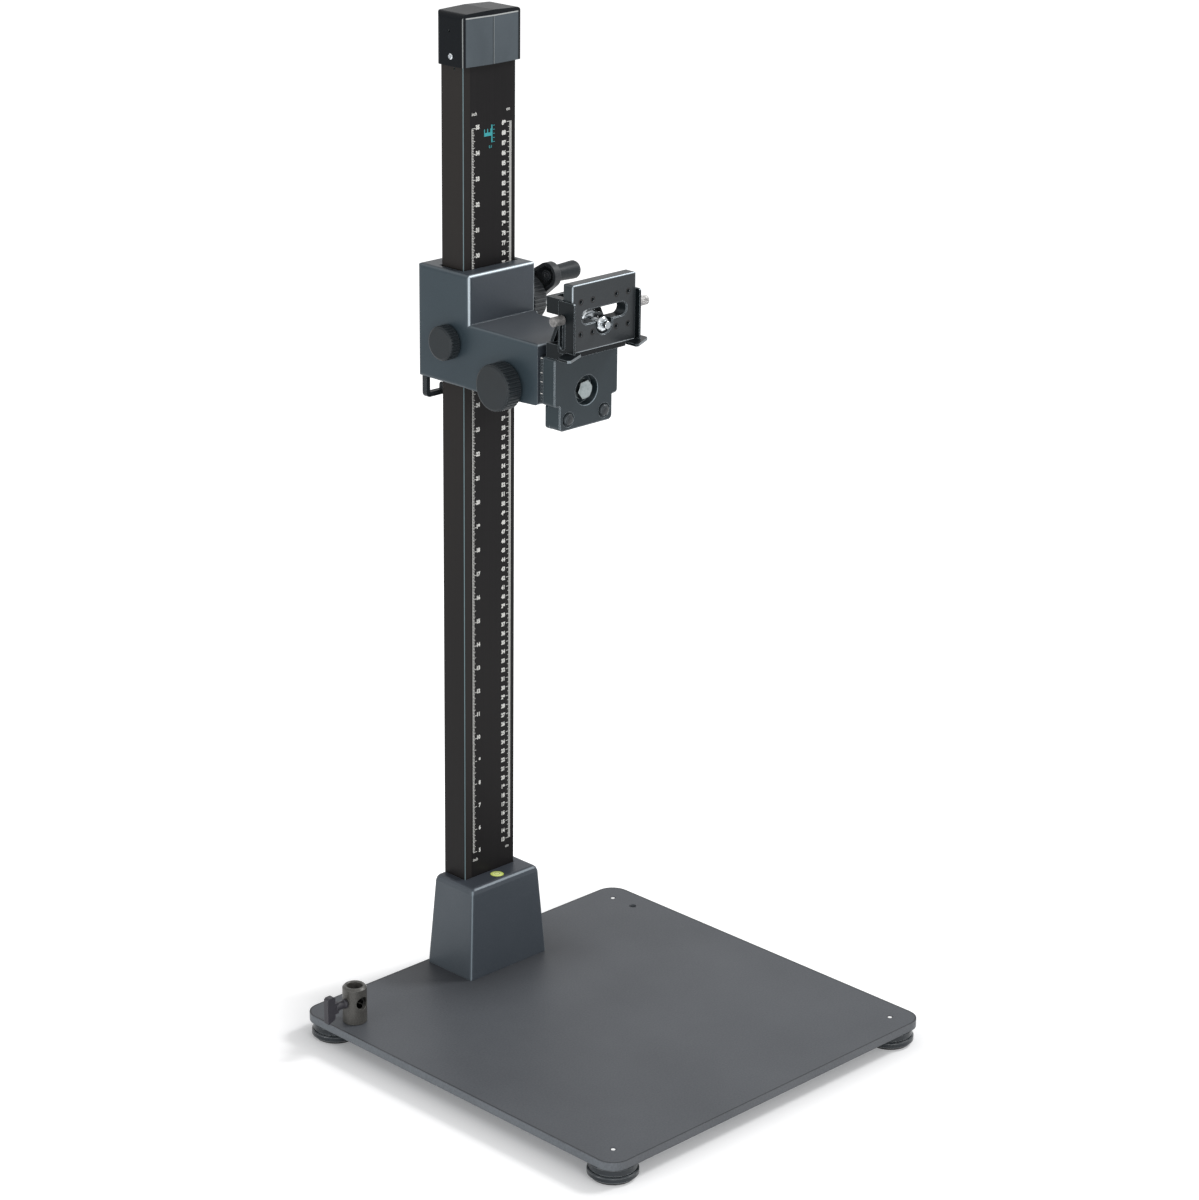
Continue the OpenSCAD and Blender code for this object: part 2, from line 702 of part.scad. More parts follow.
module shaft_bushes() {
    color([0.72, 0.55, 0.25]) at_origin() {
        ring_x(-chamber_w / 2 - bush_l, -chamber_w / 2, y_shaft, z_shaft, bush_r, shaft_d / 2 + run);
        ring_x(chamber_w / 2, chamber_w / 2 + bush_l, y_shaft, z_shaft, bush_r, shaft_d / 2 + run);
        ring_x(x_car - bush_l, x_car, y_shaft, z_shaft, bush_r, shaft_d / 2 + run);
    }
}

module cable_hook() {
    t = 5;
    x0 = -x_car + 2.5;
    color([0.05, 0.05, 0.055]) at_origin() translate([0, y_carb - 3.5, z_car]) rotate([90, 0, 0])
        linear_extrude(6) {
            translate([x0, -17]) square([t, 17]);
            translate([x0 + t, -17]) intersection() {
                circle(t);
                translate([-t, -t]) square(t);
            }
            translate([x0 + t, -17 - t]) square([20, t]);
            translate([x0 + t + 20, -17 - t / 2]) circle(t / 2);
            translate([x0 + t + 20 - t / 2, -17 - t / 2]) square([t, 6]);
            translate([x0 + t + 20, -17 + 3.5]) circle(t / 2);
        }
}

// Pinion with true involute flanks, a tooth pointing at the rack
function involute(rb, a) = [rb * (cos(a) + a * PI / 180 * sin(a)), rb * (sin(a) - a * PI / 180 * cos(a))];
function turn(p, a) = [p[0] * cos(a) - p[1] * sin(a), p[0] * sin(a) + p[1] * cos(a)];

module pinion_teeth() {
    rb = pinion_r * cos(gear_angle);
    ro = pinion_r + gear_m * 0.96;
    rr = pinion_r - 1.2 * gear_m;
    a_out = sqrt(pow(ro / rb, 2) - 1) * 180 / PI;
    inv_p = tan(gear_angle) * 180 / PI - gear_angle;
    half = 90 / pinion_n + inv_p - backlash / 2 / pinion_r * 180 / PI;
    flank = [for (k = [0 : 6]) turn(involute(rb, a_out * k / 6), -half)];
    tooth = concat([[rr * cos(half), -rr * sin(half)]], flank,
        [for (k = [6 : -1 : 0]) [flank[k][0], -flank[k][1]]], [[rr * cos(half), rr * sin(half)]]);
    pts = [for (i = [0 : pinion_n - 1], p = tooth) turn(p, 180 + i * 360 / pinion_n)];
    polygon(pts);
}

module pinion() {
    color([0.8, 0.7, 0.4]) at_origin() translate([-pinion_t / 2, y_shaft, z_shaft]) rotate([90, 0, 90])
        linear_extrude(pinion_t) difference() {
            pinion_teeth();
            circle(shaft_d / 2);
        }
}

module crank_shaft() {
    color([0.72, 0.73, 0.75]) at_origin()
        rod_x(-chamber_w / 2 - bush_l + 1, x_crank + crank_t + 1, y_shaft, z_shaft, shaft_d / 2);
}

// Flat link between two round ends, with sides that just cut both circles
module link(l, r1, r2) {
    a = asin((r1 - r2) / l);
    s1 = r1 - 0.06;
    s2 = r2 - 0.06;
    circle(r1);
    translate([l, 0]) circle(r2);
    polygon([[s1 * sin(a), s1 * cos(a)], [l + s2 * sin(a), s2 * cos(a)],
        [l + s2 * sin(a), -s2 * cos(a)], [s1 * sin(a), -s1 * cos(a)]]);
}

module crank_arm() {
    hub_l = x_crank - x_knobface;
    color([0.06, 0.06, 0.065]) at_origin() translate([x_crank, y_shaft, z_shaft]) difference() {
        union() {
            rotate([90, 0, 90]) rotate(180 - crank_tilt) difference() {
                union() {
                    linear_extrude(crank_t) link(crank_r, crank_hub_r, crank_boss_r);
                    translate([0, 0, 1])
                        linear_extrude(crank_t + 1) link(crank_r, crank_hub_r - 3, crank_boss_r - 3);
                }
                translate([0, 0, -1]) linear_extrude(crank_t - 1.5)
                    link(crank_r, crank_hub_r - crank_wall - 0.5, crank_boss_r - crank_wall - 0.5);
            }
            rod_x(-hub_l + 0.4, crank_t - 1, 0, 0, 10);
            rod_x(0, crank_t - 1, y_grip - y_shaft, z_grip - z_shaft, 5.5);
        }
        rod_x(-hub_l - 1, crank_t + 1, 0, 0, shaft_d / 2);
        rod_x(-1, crank_t + 3, y_grip - y_shaft, z_grip - z_shaft, 3);
    }
}

module handle_pin() {
    x0 = x_crank;
    color([0.72, 0.73, 0.75]) at_origin() {
        rod_x(x0, x_crank + crank_t + 2 + gap + grip_l - 4, y_grip, z_grip, 3);
    }
}

module crank_grip() {
    r = grip_d / 2;
    l = grip_l;
    color([0.07, 0.07, 0.075]) at_origin() translate([x_crank + crank_t + 2 + gap, y_grip, z_grip])
        rotate([0, 90, 0]) difference() {
            rotate_extrude() polygon([[0, 0], [r - 1.6, 0], [r - 0.9, 1], [r - 0.7, l * 0.35],
                [r, l * 0.8], [r, l - 3], [r - 0.9, l - 1], [r - 3, l], [0, l]]);
            translate([0, 0, -1]) cylinder(r = 3 + run, h = l - 2);
        }
}

module clamp_knob() {
    color([0.05, 0.05, 0.055]) at_origin() translate([-x_knobface, clamp_y, clamp_z])
        rotate([0, -90, 0]) difference() {
            knob(clamp_d, clamp_t, 30, 1.1);
            translate([0, 0, -1]) cylinder(r = screw_d / 2, h = clamp_t - 3);
        }
}

module clamp_screw() {
    color([0.72, 0.73, 0.75]) at_origin()
        rod_x(-x_knobface - clamp_t + 4, -x_way - shoe_t - gap, clamp_y, clamp_z, screw_d / 2);
}

module clamp_shoe() {
    color([0.85, 0.85, 0.8]) at_origin()
        rod_x(-x_way - shoe_t + 1, -col_w / 2 - gap, clamp_y, clamp_z, shoe_r);
}

module friction_knob() {
    color([0.2, 0.2, 0.21]) at_origin() translate([x_knobface, fric_y, fric_z])
        rotate([0, 90, 0]) difference() {
            knob(knob_d, knob_t, 36, 1.2);
            translate([0, 0, -1]) cylinder(r = screw_d / 2, h = knob_t - 3);
        }
}

module friction_screw() {
    color([0.72, 0.73, 0.75]) at_origin()
        rod_x(x_way + shoe_t + gap, x_knobface + knob_t - 4, fric_y, fric_z, screw_d / 2);
}

module friction_shoe() {
    color([0.85, 0.85, 0.8]) at_origin()
        rod_x(col_w / 2 + gap, x_way + shoe_t - 1, fric_y, fric_z, shoe_r);
}

module swivel_knob() {
    color([0.05, 0.05, 0.055]) at_origin() translate([-x_knobface, swivel_knob_y, z_swivel])
        rotate([0, -90, 0]) difference() {
            knob(knob_d, knob_t, 36, 1.2);
            translate([0, 0, -1]) cylinder(r = screw_d / 2, h = knob_t - 3);
        }
}

module swivel_screw() {
    color([0.72, 0.73, 0.75]) at_origin()
        rod_x(-x_knobface - knob_t + 4, -spindle_d / 2 - shoe_t - 2 * gap, swivel_knob_y, z_swivel,
            screw_d / 2);
}

module swivel_shoe() {
    color([0.75, 0.6, 0.3]) at_origin()
        rod_x(-spindle_d / 2 - shoe_t, -spindle_d / 2 - gap, swivel_knob_y, z_swivel, 5);
}

module swivel_spindle() {
    color([0.72, 0.73, 0.75]) at_origin() difference() {
        rod_y(y_brk, y_arm + spindle_l - 1, 0, z_swivel, spindle_d / 2);
        rod_y(y_brk - 1, y_brk + 22, 0, z_swivel, bolt_d / 2);
    }
}

// Plate between arm and bracket, with a notched edge on each side
module index_plate() {
    w = brk_w - 1;
    h = brk_up + brk_step - 1.2;
    color([0.1, 0.1, 0.105]) at_origin() translate([0, y_brk, z_swivel + (brk_up - brk_step) / 2])
        rotate([-90, 0, 0]) linear_extrude(index_t) difference() {
            rrect(w, h, 2);
            translate([0, (brk_up - brk_step) / 2]) circle(spindle_d / 2 + run);
            for (x = [-1, 1], i = [-7 : 7]) translate([x * (w / 2 + 0.3), i * 3]) circle(0.9, $fn = 24);
        }
}

// Front outline of the bracket: wide body, narrower lower end
module brk_outline() {
    translate([0, (brk_up - brk_step) / 2]) rrect(brk_w, brk_up + brk_step, 4);
    translate([0, (brk_up - brk_down) / 2]) rrect(brk_low_w, brk_up + brk_down, 5);
}

module swivel_bracket() {
    x_dome = 24.2;
    color([0.2, 0.21, 0.23]) at_origin() difference() {
        union() {
            translate([0, y_brk, z_swivel]) rotate([90, 0, 0]) linear_extrude(brk_t - 1) brk_outline();
            translate([0, y_brk, z_swivel]) rotate([90, 0, 0]) linear_extrude(brk_t)
                intersection() {
                    translate([0, 1]) brk_outline();
                    translate([0, -1]) brk_outline();
                    translate([1, 0]) brk_outline();
                    translate([-1, 0]) brk_outline();
                }
            // Lower end, thicker behind
            translate([0, y_brk + index_t - 1, z_swivel]) rotate([90, 0, 0]) linear_extrude(index_t)
                translate([0, (-brk_step - brk_down) / 2]) rrect(brk_low_w, brk_down - brk_step, 4);
        }
        rod_y(y_brkf - 1, y_brk + 1, 0, z_swivel, bolt_d / 2);
        rod_y(y_brkf - 1, y_brkf + cbore_deep, 0, z_swivel, cbore_d / 2);
        for (x = [-1, 1]) rod_y(y_brkf - 1, y_brkf + 2, x * x_dome, z_swivel - 25, 7.5);
        for (x = [-1, 1]) rod_y(y_brkf - 1, y_brk - 2, x * x_dome, z_swivel - 25, 3);
        for (p = carrier_bolts) rod_z(z_swivel + brk_up - 12, z_swivel + brk_up + 1, p[0], p[1], 2.5);
    }
}

module bracket_screws() {
    color([0.12, 0.12, 0.13]) at_origin() for (x = [-24.2, 24.2])
        translate([x, y_brkf + 2, z_swivel - 25]) rotate([90, 0, 0]) rotate_extrude()
            polygon([[0, -9], [3, -9], [3, 0], [5.9, 0], [5.9, 2.4], [5.2, 3.6], [3.6, 4.5], [0, 5]]);
}

module hex_bolt() {
    y0 = y_brkf + cbore_deep - 1.5;
    color([0.78, 0.77, 0.72]) at_origin() translate([0, y0, z_swivel]) {
        rotate([90, 0, 0]) intersection() {
            rotate(8) hex(bolt_af, bolt_head);
            rotate_extrude() polygon([[0, 0], [bolt_af, 0], [bolt_af, bolt_head - 3],
                [bolt_af / 2 - 0.3, bolt_head], [0, bolt_head]]);
        }
        rotate([-90, 0, 0]) cylinder(r = bolt_d / 2, h = brk_t - cbore_deep + 1.5 + 20);
    }
}

module bolt_washer() {
    color([0.72, 0.72, 0.7]) at_origin() translate([0, y_brkf + cbore_deep, z_swivel])
        rotate([90, 0, 0]) rotate_extrude() translate([bolt_d / 2, 0]) square([5.2, 1.5]);
}

// Carrier: block on the bracket, tapered web, and side arms that hold the plate
module plate_carrier() {
    zb = carrier_z;
    yb = carrier_y;
    w = x_plate;
    ztop = arm_hi;
    color([0.07, 0.075, 0.08]) at_origin() difference() {
        union() {
            block([-w, y_plate, zb], [w, yb, zb + block_h]);
            translate([0, yb, 0]) rotate([90, 0, 0]) linear_extrude(web_t)
                polygon([[-w + 5, zb + block_h], [-web_foot, arm_low], [-w, arm_low], [-w, ztop], [w, ztop],
                    [w, arm_low], [web_foot, arm_low], [w - 5, zb + block_h]]);
            for (x = [-1, 1]) {
                block([min(x * w, x * (w - cheek_w)), y_plate, arm_low],
                    [max(x * w, x * (w - cheek_w)), yb, ztop]);
                block([min(x * w, x * (w - 4)), y_plate, zb + block_h - 1],
                    [max(x * w, x * (w - 4)), y_plate + 5, arm_low + 1]);
            }
        }
        for (p = carrier_bolts) rod_z(zb - 1, zb + block_h + 1, p[0], p[1], 2.5);
        for (x = [-1, 1]) rod_y(y_plate - 1, yb + 1, x * (w - 4), arm_hi - 7, 2);
    }
}

module carrier_screws() {
    color([0.7, 0.7, 0.72]) at_origin() {
        for (p = carrier_bolts) translate([p[0], p[1], carrier_z + block_h])
            pan_screw(5, carrier_bolt_l, 8.5, 3.5);
        for (x = [-1, 1]) translate([x * (x_plate - 4), carrier_y, arm_hi - 7]) rotate([-90, 0, 0])
            pan_screw(4, carrier_reach, 7, 2.5);
    }
}

module slot2d(l, h) {
    square([l - h, h], center = true);
    for (x = [-1, 1]) translate([x * (l - h) / 2, 0]) circle(h / 2);
}

module camera_plate() {
    hz = plate_h / 2;
    color([0.13, 0.135, 0.14]) at_origin() difference() {
        rblock([-x_plate, y_platef, z_plate - hz], [x_plate, y_plate, z_plate + hz], 3, 2);
        translate([0, y_plate + 1, z_plate]) rotate([90, 0, 0]) linear_extrude(plate_t + 2)
            slot2d(slot_l, slot_h);
        translate([0, y_platef + 1, z_plate]) rotate([90, 0, 0]) linear_extrude(2)
            slot2d(slot_l + 2, slot_h + 2);
        rod_y(y_platef - 1, y_plate + 1, 0, z_plate - key_drop, key_d / 2);
        rod_y(y_platef - 1, y_platef + 1, 0, z_plate - key_drop, key_d / 2 + 1);
        for (x = [-2, -1, 1, 2], z = [-1, 1])
            rod_y(y_platef - 1, y_platef + 8, x * hole_step, z_plate + z * hole_step, 1.9);
        for (x = [-1, 1]) {
            rod_x(min(x * (x_plate + 1), x * (x_plate - 8)), max(x * (x_plate + 1), x * (x_plate - 8)),
                thumb_y, thumb_z, 2 + run);
            rod_y(y_plate - 7, y_plate + 1, x * (x_plate - 4), arm_hi - 7, 2);
        }
    }
}

// Camera stop: slotted flange beside the plate and a forward lip at its foot
module stop_flange() {
    y0 = y_plate + 3.6;
    y1 = y_platef - 4.6;
    zc = stop_bottom + stop_h / 2;
    difference() {
        translate([(y0 + y1) / 2, zc]) rrect(y0 - y1, stop_h, 2.5);
        translate([thumb_y, thumb_z + 0.4 - slot_deep / 2])
            rotate(90) slot2d(slot_deep + thumb_slot, thumb_slot);
    }
}

module stop_at(side) {
    x0 = side > 0 ? x_plate + gap : -x_plate - gap - stop_t;
    translate([x0, 0, 0]) rotate([90, 0, 90]) linear_extrude(stop_t) stop_flange();
}

module stop_left() {
    yf = y_platef;
    x0 = -x_plate - gap;
    color([0.05, 0.05, 0.055]) at_origin() {
        stop_at(-1);
        translate([0, 0, stop_bottom - 0.5]) linear_extrude(stop_t + 0.5) polygon([
            [x0, yf - 0.7], [x0, yf + 6], [x0 - stop_t, yf + 6], [x0 - 17, yf + 1], [x0 - 21, yf - 4],
            [x0 - 21, yf - 15], [x0 - 18, yf - 17], [x0 + 5, yf - 7], [x0 + 7, yf - 4], [x0 + 7, yf - 0.7]]);
    }
}

module stop_right() {
    yf = y_platef;
    x0 = x_plate + gap;
    color([0.05, 0.05, 0.055]) at_origin() {
        stop_at(1);
        translate([0, 0, stop_bottom - 0.5]) linear_extrude(stop_t + 0.5) polygon([
            [x0, yf - 0.7], [x0, yf + 6], [x0 + stop_t, yf + 6], [x0 + 9, yf + 6], [x0 + 11, yf + 3],
            [x0 + 11, yf - 4], [x0 + 9, yf - 7], [x0 - 14, yf - 18], [x0 - 17, yf - 17],
            [x0 - 17, yf - 3.5], [x0 - 15, yf - 0.7]]);
    }
}

// Knurled thumb screw on +X of its seat, turned back by out
module thumb_screw(out) {
    rotate([0, 90, 0]) {
        translate([0, 0, gap + out]) linear_extrude(12.5) difference() {
            circle(4.8);
            for (i = [0 : 19]) rotate(i * 18) translate([5.1, 0]) circle(0.55);
        }
        translate([0, 0, -stop_t]) cylinder(r = 3.6, h = stop_t + gap + out + 0.1);
        translate([0, 0, -stop_t - gap - 7]) cylinder(r = 2, h = stop_t + gap + 7.4);
    }
}

module stop_screw_left() {
    color([0.75, 0.74, 0.72]) at_origin() translate([-x_plate - gap - stop_t, thumb_y, thumb_z])
        mirror([1, 0, 0]) thumb_screw(0);
}

module stop_screw_right() {
    color([0.75, 0.74, 0.72]) at_origin() translate([x_plate + gap + stop_t, thumb_y, thumb_z])
        thumb_screw(thumb_out);
}

module slot_washer() {
    hole_l = slide_play + cam_d + 2 * gap;
    hole_h = cam_d + 2 * gap;
    color([0.75, 0.75, 0.74]) at_origin() translate([cam_x + slide_mid, y_plate + gap + washer_t, cam_z])
        rotate([90, 0, 0]) linear_extrude(washer_t) difference() {
            slot2d(hole_l + 8, hole_h + 8);
            slot2d(hole_l, hole_h);
        }
}

// Clip in the screw's groove, inside the slot
module retaining_clip() {
    color([0.7, 0.7, 0.7]) at_origin() translate([cam_x, y_plate - 3, cam_z]) rotate([90, 0, 0])
        rotate_extrude() translate([cam_d / 2 + run, 0]) square([1.1, 1]);
}

module camera_screw() {
    y_head = y_plate + gap + washer_t + gap;
    y_tip = y_platef - 8.9;
    color([0.78, 0.78, 0.77]) at_origin() {
        translate([cam_x, y_head + cam_head_t, cam_z]) rotate([90, 0, 0]) difference() {
            knob(cam_head_d, cam_head_t, 32, 0.7);
            translate([0, 0, 1]) cube([14, 1.6, 4], center = true);
        }
        rod_y(y_tip, y_head + 1, cam_x, cam_z, cam_d / 2);
    }
}

module thread_adapter() {
    color([0.8, 0.8, 0.79]) at_origin() translate([cam_x, y_platef - gap, cam_z]) rotate([90, 0, 0])
        rotate_extrude() polygon([[cam_d / 2, 0], [7.2, 0], [7.4, 0.6], [6.9, 1.7], [5.9, 2.6], [4.6, 3.1],
            [3.7, 3.2], [3.7, 8], [3.1 + 0.2, 8.4], [cam_d / 2, 8.4]]);
}

baseboard();
pedestal();
column();
column_rack();
column_cap();
cap_screws();
level_housing();
level_vial();
pedestal_bolts();
column_bolts();
foot_front_left();
foot_front_right();
foot_rear_left();
foot_rear_right();
foot_pad_front_left();
foot_pad_front_right();
foot_pad_rear_left();
foot_pad_rear_right();
lamp_socket();
socket_bolt();
socket_wing_screw();
carriage_housing();
slide_liners();
shaft_bushes();
cable_hook();
drive_cover();
cover_screws();
crank_shaft();
pinion();
crank_arm();
handle_pin();
crank_grip();
clamp_knob();
clamp_screw();
clamp_shoe();
friction_knob();
friction_screw();
friction_shoe();
swivel_knob();
swivel_screw();
swivel_shoe();
swivel_bracket();
swivel_spindle();
index_plate();
hex_bolt();
bolt_washer();
bracket_screws();
plate_carrier();
carrier_screws();
camera_plate();
stop_left();
stop_right();
stop_screw_left();
stop_screw_right();
slot_washer();
retaining_clip();
camera_screw();
thread_adapter();
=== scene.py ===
"""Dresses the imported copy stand: camera, studio, finishes, printed scale and the small marks on its parts.

Lengths are metres in the row frame, unless a name says millimetres. The stand faces -Y, its column is at
the back, and +Z is up.
"""

import logging
import math
from dataclasses import dataclass, replace
from enum import Enum
from typing import Any, Iterable, Mapping, Optional, Sequence, Union

import bmesh
import bpy
from mathutils import Matrix, Vector

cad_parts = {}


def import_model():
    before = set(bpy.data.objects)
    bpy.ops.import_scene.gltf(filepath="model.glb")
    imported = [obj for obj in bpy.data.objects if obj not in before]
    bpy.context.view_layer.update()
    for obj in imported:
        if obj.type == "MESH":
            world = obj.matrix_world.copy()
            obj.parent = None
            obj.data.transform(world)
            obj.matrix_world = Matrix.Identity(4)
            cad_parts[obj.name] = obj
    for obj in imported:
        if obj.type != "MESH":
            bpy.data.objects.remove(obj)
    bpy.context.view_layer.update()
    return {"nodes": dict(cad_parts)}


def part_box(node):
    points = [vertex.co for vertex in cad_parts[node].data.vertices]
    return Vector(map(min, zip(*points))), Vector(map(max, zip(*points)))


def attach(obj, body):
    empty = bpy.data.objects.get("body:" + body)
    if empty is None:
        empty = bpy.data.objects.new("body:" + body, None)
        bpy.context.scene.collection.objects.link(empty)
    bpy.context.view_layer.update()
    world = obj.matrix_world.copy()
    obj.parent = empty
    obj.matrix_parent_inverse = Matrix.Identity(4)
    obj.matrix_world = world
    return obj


LOG = logging.getLogger("copy_stand")

Node = bpy.types.Node
Socket = bpy.types.NodeSocket
Material = bpy.types.Material
Rgb = tuple[float, float, float]
Point = tuple[float, float, float]
Pair = tuple[float, float]
Key = Union[int, str]
Input = Union[float, Sequence[float], "Signal", Socket]
Inputs = Mapping[Key, Input]
Settings = Mapping[str, Any]

WHITE: Rgb = (1.0, 1.0, 1.0)
CORNERS = ("front_left", "front_right", "rear_left", "rear_right")
PRINT_LIFT = 0.00004
MM = 1000


class Slot(str, Enum):
    """Material slots of the record."""

    BOARD = "board_paint"
    CAST = "cast_paint"
    COLUMN = "column_black"
    RACK = "rack_steel"
    ZINC = "zinc_steel"
    NICKEL = "nickel"
    BRASS = "brass"
    BLACK_PLASTIC = "black_plastic"
    GREY_PLASTIC = "grey_plastic"
    LINER = "liner_plastic"
    BLACK_STEEL = "black_steel"
    FLUID = "level_fluid"
    RUBBER = "pad_rubber"


class Own(str, Enum):
    """Finishes that some pieces have for themselves, within their slot."""

    PEDESTAL = "pedestal_cast_paint"
    CAP = "cap_plastic"
    HEAD = "head_cast_paint"
    DOME = "dome_steel"
    STOP = "stop_steel"
    KNURLED = "knurled_nickel"
    STUD = "stud_steel"
    BOLT = "bolt_steel"
    SOCKET = "socket_cast_paint"
    WING = "wing_plastic"
    FOOT = "foot_plastic"
    RUBBED = "rubbed_edge"
    WHITE_INK = "white_ink"
    TEAL_INK = "teal_ink"


class Body(str, Enum):
    """Bodies that a dressed piece rides on."""

    BASE = "base"
    HEAD = "head"
    FRONT_LEFT_FOOT = "front_left_foot"
    FRONT_RIGHT_FOOT = "front_right_foot"
    REAR_LEFT_FOOT = "rear_left_foot"
    REAR_RIGHT_FOOT = "rear_right_foot"


class Space(Enum):
    """Where a pattern's coordinates come from."""

    OBJECT = "Object"
    GENERATED = "Generated"


def srgb(red: float, green: float, blue: float) -> Rgb:
    """Turns 0-255 display values into the linear values a shader takes.

    Args:
        red: the red part.
        green: the green part.
        blue: the blue part.

    Returns:
        The linear colour.
    """

    def linear(value: float) -> float:
        """One channel, by the display curve."""
        part = value / 255.0
        return part / 12.92 if part <= 0.04045 else ((part + 0.055) / 1.055) ** 2.4

    return linear(red), linear(green), linear(blue)


def middle(node: str) -> Point:
    """The middle of a node's box."""
    low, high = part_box(node)
    return (low.x + high.x) / 2, (low.y + high.y) / 2, (low.z + high.z) / 2


@dataclass(frozen=True)
class Signal:
    """A number socket of a shader tree, whose operators add Math nodes."""

    graph: "Graph"
    socket: Socket

    def math(self, operation: str, *others: Input, clamp: bool = False) -> "Signal":
        """Adds one Math node that starts with this socket; a clamp keeps its result from 0 to 1."""
        inputs = dict(enumerate((self, *others)))
        return self.graph.number("ShaderNodeMath", {"operation": operation, "use_clamp": clamp}, inputs)

    def reversed_math(self, operation: str, first: Input) -> "Signal":
        """Adds one Math node whose first value is another one and whose second is this socket."""
        return self.graph.number("ShaderNodeMath", {"operation": operation}, {0: first, 1: self})

    def __add__(self, other: Input) -> "Signal":
        """Sum."""
        return self.math("ADD", other)

    def __radd__(self, other: Input) -> "Signal":
        """Sum, reflected."""
        return self.math("ADD", other)

    def __sub__(self, other: Input) -> "Signal":
        """Difference."""
        return self.math("SUBTRACT", other)

    def __rsub__(self, other: Input) -> "Signal":
        """Difference, reflected."""
        return self.reversed_math("SUBTRACT", other)

    def __mul__(self, other: Input) -> "Signal":
        """Product."""
        return self.math("MULTIPLY", other)

    def __rmul__(self, other: Input) -> "Signal":
        """Product, reflected."""
        return self.math("MULTIPLY", other)

    def __truediv__(self, other: Input) -> "Signal":
        """Quotient."""
        return self.math("DIVIDE", other)

    def __rtruediv__(self, other: Input) -> "Signal":
        """Quotient, reflected."""
        return self.reversed_math("DIVIDE", other)

    def __pow__(self, other: Input) -> "Signal":
        """Power."""
        return self.math("POWER", other)

    def __rpow__(self, other: Input) -> "Signal":
        """Power, reflected."""
        return self.reversed_math("POWER", other)

    def clamped(self) -> "Signal":
        """The same value, kept from 0 to 1."""
        return self.math("ADD", 0.0, clamp=True)

    def gained(self, gain: float) -> "Signal":
        """The same value times a number, kept from 0 to 1."""
        return (self * gain).clamped()

    def swing(self) -> "Signal":
        """A pattern from 0 to 1, moved so that its middle is 0."""
        return self - 0.5

    def size(self) -> "Signal":
        """The same value without its sign."""
        return self.math("ABSOLUTE")

    def larger(self, other: Input) -> "Signal":
        """The larger of two values."""
        return self.math("MAXIMUM", other)


